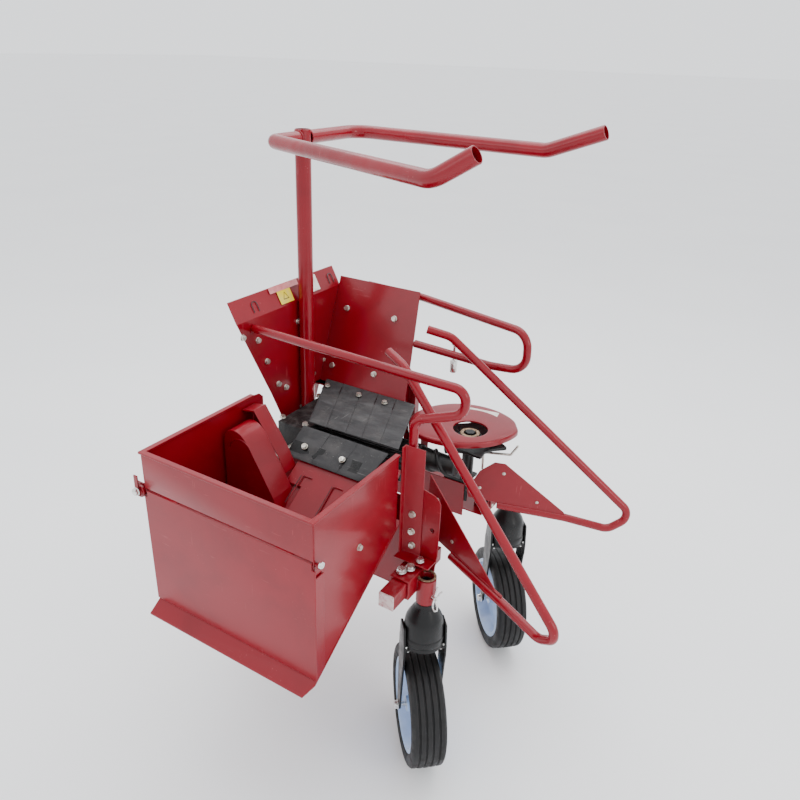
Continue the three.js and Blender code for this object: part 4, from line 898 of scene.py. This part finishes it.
def ribbed_roller(side):
    """r(x, a) = core(x) + 5·rib.

    rib is a flat-topped bump every 60° on the barrel and a spiral pair on the nose.
    """
    tip, tip_r = TIPS[side]
    x = np.concatenate([[ROLLER_REAR, ROLLER_REAR, ROLLER_REAR + 1.5], np.linspace(ROLLER_REAR + 8, tip - 5, 150),
                        [tip - 3, tip - 1, tip, tip]])
    angle = np.arange(144) * 2 * np.pi / 144
    x2, a = np.meshgrid(x, angle, indexing="ij")
    share = np.clip((x2 - ROLLER_NOSE) / (tip - ROLLER_NOSE), 0, 1)
    core = ROLLER_R - (ROLLER_R - tip_r) * share
    phase = np.pi / 6 if side > 0 else 0.0
    off = (a - phase + np.pi / 6) % (np.pi / 3) - np.pi / 6
    straight = (step(off * core, -3.4, 0.5) - step(off * core, 3.4, 0.5)) * (x2 < ROLLER_NOSE + 4)
    turn = (a - side * 2.2 * np.pi * share) % np.pi - np.pi / 2
    spiral = (step(turn * core, -6.5, 0.8) - step(turn * core, 6.5, 0.8)) * (x2 >= ROLLER_NOSE + 4)
    fade = np.clip((tip - x2) / 8, 0, 1) * np.clip((x2 - ROLLER_REAR) / 1.5 + 0.8, 0, 1)
    r = core + RIB * np.maximum(straight, spiral) * fade
    r[0], r[-1], r[-2], r[-3] = 9.5, 2.0, tip_r * 0.8, tip_r * 0.94
    points = np.stack([x2, side * ROLLER_Y + r * np.cos(a), ROLLER_Z + r * np.sin(a)], -1)
    return closed_grid(at(points))


for label, side in (("near", -1), ("far", 1)):
    shaft = turned([(0.5, -524), (8.3, -524), (9, -523), (9, -437)],
                   (0, side * ROLLER_Y, ROLLER_Z), (1, 0, 0), 36, closed=False)
    piece(f"{label}_roller_cast", together([ribbed_roller(side), shaft]), iron, f"{label}_roller_set",
          (f"{label}_roller",), 42)
print("two rollers")

# %% [markdown]
# ## The star wheel's cover
# A pressed guard with an eye-shaped outline covers the star wheel. Its edge rolls down into a skirt, its
# middle rises a little, and a round hole lets a spanner reach the nut. It stands on a strap from the far
# side frame.

# %% Pressed cover
COVER_CENTRE, COVER_TURN, COVER_Z, COVER_HOLE = np.array([-117.0, 124.0]), math.radians(33), 690, 43
STAR = np.array([-99.0, 126.0])


def eye_outline(count=168):
    """Two arcs over one chord, each of radius (142² + w²) / (2·w), ends cut off, then smoothed and turned 33°."""
    arcs = []
    for sign, wide in ((1, 140), (-1, 82)):
        r = (142 ** 2 + wide ** 2) / (2 * wide)
        spread = math.asin(136 / r)
        a = np.linspace(spread, -spread, 40)
        arcs.append(sign * np.stack([r * np.sin(a), r * np.cos(a) - (r - wide)], 1))
    line = np.concatenate([*arcs, arcs[0][:1]])
    s = np.concatenate([[0], np.cumsum(np.linalg.norm(np.diff(line, axis=0), axis=1))])
    even = np.linspace(0, s[-1], count, endpoint=False)
    line = np.stack([np.interp(even, s, line[:, k]) for k in (0, 1)], 1)
    for _ in range(3):
        line = (np.roll(line, 1, 0) + 2 * line + np.roll(line, -1, 0)) / 4
    c, s = math.cos(COVER_TURN), math.sin(COVER_TURN)
    return line @ np.array([[c, s], [-s, c]]) + COVER_CENTRE


def pressed_cover():
    """Rows run from the hole out to the rolled edge, down the skirt, and back underneath at 3 mm inside."""
    rim = eye_outline()
    spoke = rim - STAR
    angle = np.arctan2(spoke[:, 1], spoke[:, 0])
    hole = STAR + COVER_HOLE * np.stack([np.cos(angle), np.sin(angle)], 1)
    inward = -spoke / np.linalg.norm(spoke, axis=1, keepdims=True)
    top = [(0.0, -1.6), (0.0, -0.4), (0.02, 0.0), (0.1, 0.1), (0.35, 0.0), (0.65, -0.6), (0.88, -1.4)]
    rows = [np.column_stack([hole + (rim - hole) * t, np.full(len(rim), COVER_Z + z)]) for t, z in top]
    turn = np.linspace(0, np.pi / 2, 6)
    rows += [np.column_stack([rim + inward * 5 * (1 - math.sin(a)),
                              np.full(len(rim), COVER_Z - 2 - 5 * (1 - math.cos(a)))]) for a in turn]
    rows += [np.column_stack([rim + inward * d, np.full(len(rim), COVER_Z - z)]) for d, z in
             ((0, 14.5), (0.5, 15.8), (2.4, 15.8), (3, 14.5), (3, 9), (6, 5.2))]
    rows += [np.column_stack([hole + (rim - hole) * t, np.full(len(rim), COVER_Z + z)]) for t, z in
             ((0.88, -4.4), (0.65, -3.6), (0.35, -3.0), (0.02, -2.9), (0.0, -2.6))]
    return closed_grid(at(np.stack(rows)), close_rows=True)


strap = slab(rounded_outline(20, 128, 0.4, 2), 3, (-216, 111, COVER_Z - 66), (1, 0, 0), (0, 0, 1))
strap_step = slab(rounded_outline(20, 10, 0.4, 2), 3, (-216, 106.2, 560), (1, 0, 0), (0, 1, 0))
strap_foot = slab(rounded_outline(20, 58, 0.4, 2), 3, (-216, 104.4, 534), (1, 0, 0), (0, 0, 1))
piece("star_cover_pressed", together([pressed_cover(), strap, strap_step, strap_foot]), red_sheet,
      stands_for=("star_cover",), crease=40)
LABEL_ALONG = np.array([math.cos(0.17), math.sin(0.17), 0.0])
piece("star_cover_label",
      slab(rounded_outline(94, 40, 3), 0.5, (-119, 219, COVER_Z - 1.1), LABEL_ALONG, np.cross(UP, LABEL_ALONG)),
      label_white)
ring = turned([(16, 676.2), (16, 679.0), (17, 679.6), (23, 679.6), (24, 679.0), (24, 676.2)], (*STAR, 0), UP, 48)
piece("star_bearing_ring", ring, worn_bore, "star")
hem_ring = turned([(44.5, 688.0), (44.5, 685.5), (43.2, 685.5), (43.2, 688.0)], (*STAR, 0), UP, 64)
piece("star_cover_hem", hem_ring, red_tube)
print("star wheel cover, label and bearing ring")

# %% [markdown]
# ## The rubber flaps
# Two sheets of stiff rubber close the trough over the rollers: a wide one bolted along the far wall, cut
# into tongues so a cob can push through, and a narrow one bolted beside the chute. Each tongue sags a
# little on its own, and its free edge has rubbed round.

# %% Flaps
FLAP_Z, FLAP_T = 696, 5
BOX_Y0, BOX_FLOOR_Z, FLOOR_SLOPE = -509, 406, 0.673


def floor_z(y):
    """Height of the chute's floor: the floor at the door plus its slope times the way in from the door."""
    return BOX_FLOOR_Z + FLOOR_SLOPE * (np.asarray(y, float) - BOX_Y0)


def rubber_tongue(corners, lift, thickness, sag, seed, across=22, down=34):
    """Bilinear patch over four corners; height = sag·v² + slow waves.

    The underside is the same less the thickness.
    """
    rng = np.random.default_rng(seed)
    u, v = np.meshgrid(np.linspace(0, 1, across), np.linspace(0, 1, down), indexing="ij")
    a, b, c, d = (np.asarray(p, float) for p in corners)
    flat = (((1 - u) * (1 - v))[..., None] * a + (u * (1 - v))[..., None] * b
            + (u * v)[..., None] * c + ((1 - u) * v)[..., None] * d)
    normal = np.cross(b - a, d - a)
    normal /= np.linalg.norm(normal)
    normal *= np.sign(normal[2])
    phase = rng.uniform(0, 6.28, 3)
    wave = (0.45 * np.sin(5 * v + phase[0]) * v + 0.35 * np.sin(4 * u + phase[1]) * v
            + 0.25 * np.sin(9 * v + 3 * u + phase[2]) * v)
    height = sag * v ** 2 + wave
    edge = np.minimum(np.minimum(u, 1 - u) * np.linalg.norm(b - a), np.minimum(v, 1 - v) * np.linalg.norm(d - a))
    round_off = 1.2 * np.exp(-edge / 0.9)
    top = flat + (lift + thickness + height - round_off)[..., None] * normal
    low = flat + (lift + height + round_off)[..., None] * normal
    rows = np.concatenate([top, low[::-1]])
    sheet_points = rows.reshape(-1, 3)
    n, m = across, down
    faces = grid_faces(n, m, close_columns=False) + grid_faces(n, m, close_columns=False, start=n * m)
    j = np.arange(m - 1)
    last = (n - 1) * m
    faces += np.stack([last + j, last + j + 1, last + m + j + 1, last + m + j], -1).tolist()
    end = (2 * n - 1) * m
    faces += np.stack([j, end + j, end + j + 1, j + 1], -1).tolist()
    i = np.arange(n - 1)
    mirror = (2 * n - 1 - i) * m
    for k in (0, m - 1):
        faces += np.stack([i * m + k, (i + 1) * m + k, mirror - m + k, mirror + k], -1).tolist()
    return at(sheet_points), faces


upper = []
ATTACHED, FREE = (np.array([(-551, 145, FLAP_Z), (-268, 145, FLAP_Z)], float),
                  np.array([(-437, -84, FLAP_Z), (-184, -76, FLAP_Z)], float))
CUTS = [0.0, 0.2, 0.42, 0.6, 0.8, 1.0]
for k, (u0, u1) in enumerate(zip(CUTS, CUTS[1:])):
    u0, u1 = u0 + (0.0006 if k else 0), u1 - (0.0006 if u1 < 1 else 0)
    corner = ([ATTACHED[0] + (ATTACHED[1] - ATTACHED[0]) * u for u in (u0, u1)]
              + [FREE[0] + (FREE[1] - FREE[0]) * u for u in (u1, u0)])
    upper.append(rubber_tongue(corner, 0, FLAP_T, -1.2 - 0.5 * (k % 3), 10 + k))
piece("upper_flap_tongues", together(upper), worn_rubber, stands_for=("upper_flap",), crease=50)
LOWER_UP = 11.3


def on_slope(x, y, up=LOWER_UP):
    return (x, y, float(floor_z(y)) + up)


lower = []
for k, (u0, u1) in enumerate(((0.0, 0.33), (0.3315, 0.66), (0.6615, 1.0))):
    low, high = [(-438 + 226 * u, -438 + 243 * u) for u in (u0, u1)]
    corner = [on_slope(low[0], -173), on_slope(high[0], -173), on_slope(high[1], -101), on_slope(low[1], -101)]
    lower.append(rubber_tongue(corner, 0, FLAP_T, -0.3, 40 + k, 30, 20))
piece("lower_flap_tongues", together(lower), worn_rubber, stands_for=("lower_flap",), crease=50)
print("flaps:", len(upper), "upper tongues,", len(lower), "lower tongues")

# %% [markdown]
# ## Bolts, rivets and washers
# Sheet joints are held by small zinc bolts on washers. Each is placed by the point where its washer sits and
# the direction it faces, and all of one body's bolts are one mesh.

# %% Fasteners
LEAN = 0.366
WALL_IN = np.array([0, -1, LEAN]) / math.hypot(1, LEAN)
REAR_X = -577


def on_far_wall(x, z):
    return np.array([x, 150 + LEAN * (z - 695), z]) + 3 * WALL_IN


SLOPE_UP = np.array([0, -FLOOR_SLOPE, 1]) / math.hypot(1, FLOOR_SLOPE)
FORWARD, OUT = np.array([1.0, 0, 0]), np.array([0, -1.0, 0])
small = [bolt((x, -203.3, z), OUT, 12, turn=x) for x, z in ((-69, 635), (-69, 591), (-66, 556))]
small += [bolt((REAR_X, y, z), FORWARD, 12, turn=y) for y, z in
          ((57, 887), (-98, 883), (-69, 818), (116, 720), (171, 742), (0, 722), (-29, 742), (-150, 905), (64, 640))]
small += [bolt(on_far_wall(x, z), WALL_IN, 12, turn=z)
          for x, z in ((-534, 887), (-383, 888), (-409, 742), (-545, 735))]
small += [bolt((x, 99, FLAP_Z + FLAP_T + 3.3), UP, 12, turn=x) for x in (-515, -413, -333)]
small += [bolt(on_slope(x, -150, LOWER_UP + 1.2 * (FLAP_T + 0.3) + 3.6), SLOPE_UP, 12, turn=x) for x in (-399, -290)]
small += [bolt((-98, -364, 636), FORWARD, 11)]
small += [bolt((x, y, 679), UP, 12, turn=x) for x in (-526, -455) for y in (-76, 76)]
small += [bolt((-216, 108, 640), OUT, 10)]
small += [bolt((-31, y, 482), UP, 12) for y in (140, 175)]
big = [bolt((x, y, 526.6), UP, 17, turn=y) for x, y in ((-57, -262), (-46, -243), (-57, 176), (-57, 204))]
big += [bolt((-34, -222, 538.1), UP, 14)]
piece("frame_bolts", together(small), zinc)
piece("sleeve_bolts", together(big), bright_zinc)
rivets = []
for side, sign in ((1, 1), (-1, -1)):
    out = divider_axes(side)[3]
    for along_leg, height in ((149, 82), (55, 18), (200, 30)) if side > 0 else ((214, 104), (150, 30), (222, 30)):
        for face in (1, -1):
            base = on_divider(side, along_leg, height, face * 3.2)
            rivets.append(turned([(0.3, 1.9), (2.6, 1.5), (4.0, 0.6), (4.2, 0), (4.2, -1.5), (0.3, -1.5)],
                                 base, face * out, 20, closed=False))
piece("divider_rivets", together(rivets), zinc)
latch_bolt = bolt((-554, -518, 682), OUT, 14)
piece("latch_bolt_head", latch_bolt, bright_zinc, "latch")
hinge_cap = turned([(0.4, 0), (6.6, 0), (7.2, 0.8), (7.2, 4), (6.2, 5.4), (0.4, 5.8)],
                   (-88, -504, 688), FORWARD, 28, closed=False)
piece("hinge_end_cap", hinge_cap, bright_zinc)
print("fasteners:", len(small) + len(big), "bolts,", len(rivets), "rivet heads")

# %% [markdown]
# ## Welds, pressed beads and painted slot shade
# Tube meets plate in a scaly bead that was painted over. The chute's cover and the belt guard have pressed
# beads that stiffen them, and the deflector's flange has two keyhole slots. These slots, and the cuts beside the
# chute's beads, are thin dark lines on the sheet: painted shade for the cuts, not openings.

# %% Welds


def along_divider(side, first, last, height, off, count=12):
    return [on_divider(side, a, height, off) for a in np.linspace(first, last, count)]


welds = []
for side in (-1, 1):
    welds += [weld(along_divider(side, -14, 150, 0.2, off), 2.2) for off in (0.3, 3.2)]
welds += [weld([(-27.0, side * STEM_Y + d, 505), (-27.0, side * STEM_Y + d, 470)], 2.4)
          for side in (-1, 1) for d in (-9.5, 9.5)]
welds += [weld([(-98.6, -508.6, 700), (-98.6, -508.6, 778)], 1.8),
          weld([(-534.5, -508.6, 700), (-534.5, -508.6, 778)], 1.8),
          weld([(-575, -122, 911), (-575, -102, 911)], 3.0)]
welds += [weld([(MAST[0] + 16.2 * math.cos(t), MAST[1] + side * 19.0, RAIL_Z + 16.2 * math.sin(t))
                for t in np.linspace(0, 2 * math.pi, 25)], 2.2)
          for side in (-1, 1)]
welds += [weld([(-617, y, 480.6), (-617, y + 150, 480.6)], 2.4) for y in (-75,)]
piece("painted_welds", together(welds), red_bracket, crease=70)
print("welds:", len(welds))

# %% Pressed beads, painted slot shade and labels
GUARD_FACE_Y = -288.2
bead_lines = []
arc = np.linspace(math.radians(12), math.radians(168), 30)
bead_lines.append([(-474 + 34 * math.cos(a) * -1, GUARD_FACE_Y, 688 + 38 * math.sin(a)) for a in arc])
cover_up = 11.2
for x0, y0, x1, y1 in ((-368, -262, -366, -199), (-279, -312, -280, -199)):
    line = [on_slope(x0, y0, cover_up), on_slope(x1, y1, cover_up), on_slope(x1 + 24, y1, cover_up)]
    bead_lines.append(line)
beads = [wire(line, 1.5, 5.0, 8) for line in bead_lines]
piece("pressed_beads", together(beads), red_sheet, crease=70)
FLANGE = np.array([-26, 0, 48.0]) / math.hypot(26, 48)
FLANGE_OUT = np.cross(FLANGE, [0, -1, 0])
FLANGE_OUT *= np.sign(FLANGE_OUT[0])


def on_flange(y, up, off=0.0):
    """A point on the deflector's leaning top flange: up along it from the fold, off from its front face."""
    return np.array([REAR_X, y, 945.0]) + up * FLANGE + off * FLANGE_OUT


# Each slot is a thin dark line laid on the sheet, painted shade where the cut would be, not a real opening.
slot_shade_lines = []
for y in (-90, 213):
    line = [on_flange(y - 9, 8, 0.2), on_flange(y - 9, 34, 0.2), on_flange(y + 9, 34, 0.2), on_flange(y + 9, 8, 0.2)]
    slot_shade_lines.append(wire(line, 1.0, 8.0, 8))
for x, y, run in ((-371.5, -262, 62), (-282.5, -312, 112)):
    slot_shade_lines.append(wire([on_slope(x, y, cover_up), on_slope(x, y + run, cover_up)], 0.8, 0, 6))
piece("painted_slot_shade", together(slot_shade_lines), shadow_gap)
Y_AXIS = np.array([0, 1.0, 0])
label = slab(rounded_outline(50, 46, 2), 0.5, on_flange(22, 25, 0.1), Y_AXIS, FLANGE)
strip = slab(rounded_outline(36, 42, 2), 0.45, on_flange(140, 25, 0.1), Y_AXIS, FLANGE)
pale = slab(rounded_outline(110, 16, 2), 0.45, on_flange(28, 44, 0.6), Y_AXIS, FLANGE)
triangle = np.array([(0, 11.0), (-11, -8.0), (11, -8.0)])
border = [slab(np.array([a, b, b * 0.78, a * 0.78]), 0.3, on_flange(22, 20, 0.6), Y_AXIS, FLANGE)
          for a, b in zip(triangle, np.roll(triangle, -1, 0))]
piece("yellow_label", label, label_yellow)
piece("white_label", strip, label_white)
piece("faded_label", pale, label_pink)
piece("label_mark", together(border), label_ink)
print("beads, slots and plain labels on the flange")

# %% [markdown]
# ## Wire hook and clamp
# A bent rod beside the intake keeps stalks off the star wheel, and a round clamp holds the far hoop to its
# guard tube.

# %% Wire hook and clamp
piece("wire_hook_bent", wire([(-56, 122, 592), (-58, 124, 637), (13, 124, 653), (29, 124, 682)], 3, 6.0, 12), zinc,
      stands_for=("wire_hook",))
clamp = turned([(0.4, 790), (8.4, 790), (9, 791), (9, 821), (8.4, 822), (4, 822), (4, 864), (8.4, 864),
                (9, 865), (9, 869), (8.2, 870),
                (0.4, 872)], (-196, 205, 0), UP, 32, closed=False)
piece("hoop_clamp_turned", clamp, bright_zinc, stands_for=("hoop_clamp",))
print("hook and clamp")

# %% [markdown]
# ## The studio
# A pale floor, one broad soft light above, a softer one from the left and a fill from the right. The broad
# light lies in the enamel's reflection as an overcast sky does, so every face that looks up turns pink.

# %% Floor and light
floor_mesh = bpy.data.meshes.new("studio_floor")
FLOOR_HALF = 70.0
floor_mesh.from_pydata([(-FLOOR_HALF, -FLOOR_HALF, 0), (FLOOR_HALF, -FLOOR_HALF, 0), (FLOOR_HALF, FLOOR_HALF, 0),
                        (-FLOOR_HALF, FLOOR_HALF, 0)], [], [(0, 1, 2, 3)])
floor_paint, floor_wires, floor_shader, floor_place = finish("pale studio floor", Roughness=0.85)
floor_tone = floor_wires.between(floor_wires.noise(floor_place["Object"], 1.2, 2.0), 0.3, 0.7)
floor_wires.put(floor_shader.inputs["Base Color"],
                floor_wires.blend(floor_tone, (0.93, 0.93, 0.93, 1.0), (0.91, 0.91, 0.915, 1.0)))
floor_mesh.materials.append(floor_paint)
studio_floor = bpy.data.objects.new("studio_floor", floor_mesh)
bpy.context.scene.collection.objects.link(studio_floor)


def soft_light(name, place, aim, size, watts, tint=(1.0, 1.0, 1.0)):
    """A square area light at place that points at aim."""
    lamp = bpy.data.lights.new(name, "AREA")
    lamp.shape, lamp.size, lamp.energy, lamp.color = "SQUARE", size, watts, tint
    holder = bpy.data.objects.new(name, lamp)
    holder.location = place
    direction = np.asarray(place, float) - np.asarray(aim, float)
    yaw = math.atan2(direction[1], direction[0]) + math.pi / 2
    tilt = math.acos(direction[2] / np.linalg.norm(direction))
    holder.rotation_euler = (tilt, 0, yaw)
    bpy.context.scene.collection.objects.link(holder)


MIDDLE = (0.0, 0.0, 0.6)
soft_light("sky panel", (-0.4, 0.9, 3.4), MIDDLE, 3.2, 85.0, (0.98, 0.99, 1.0))
soft_light("window left", (-2.0, -3.0, 2.4), MIDDLE, 1.4, 9.0)
soft_light("fill right", (3.2, -0.4, 1.9), MIDDLE, 1.2, 22.0, (1.0, 0.98, 0.95))
world = bpy.data.worlds.new("pale room")
bpy.context.scene.world = world
world.use_nodes = True
world.node_tree.nodes["Background"].inputs[0].default_value = (0.92, 0.94, 0.97, 1.0)
world.node_tree.nodes["Background"].inputs[1].default_value = 1.7
print("floor and three soft lights")

# %% [markdown]
# ## The camera
# The camera stands in front and to the right of the head, a little above its rails, and looks down at the ear
# box. Its lens and its small shift give the same framing as a hand-held camera at eye height.

# %% Camera
EYE = np.array([0.5627, -1.3576, 1.5327])
AZIMUTH, PITCH, ROLL_ANGLE = 2.1201, 0.4484, 0.0299
LENS, SENSOR = 33.187, 36.0
look = np.array([math.cos(PITCH) * math.cos(AZIMUTH), math.cos(PITCH) * math.sin(AZIMUTH), -math.sin(PITCH)])
level = np.array([math.sin(AZIMUTH), -math.cos(AZIMUTH), 0.0])
above = np.cross(level, look)
right = math.cos(ROLL_ANGLE) * level + math.sin(ROLL_ANGLE) * above
top = math.cos(ROLL_ANGLE) * above - math.sin(ROLL_ANGLE) * level
lens = bpy.data.cameras.new("camera")
lens.lens, lens.sensor_width, lens.shift_x, lens.shift_y = LENS, SENSOR, 0.0176, 0.0014
camera = bpy.data.objects.new("camera", lens)
bpy.context.scene.collection.objects.link(camera)
place = EYE + MACHINE_ZERO
camera.matrix_world = Matrix([[right[k], top[k], -look[k], place[k]] for k in range(3)] + [[0, 0, 0, 1]])
bpy.context.scene.camera = camera
print("camera at", place.round(3))
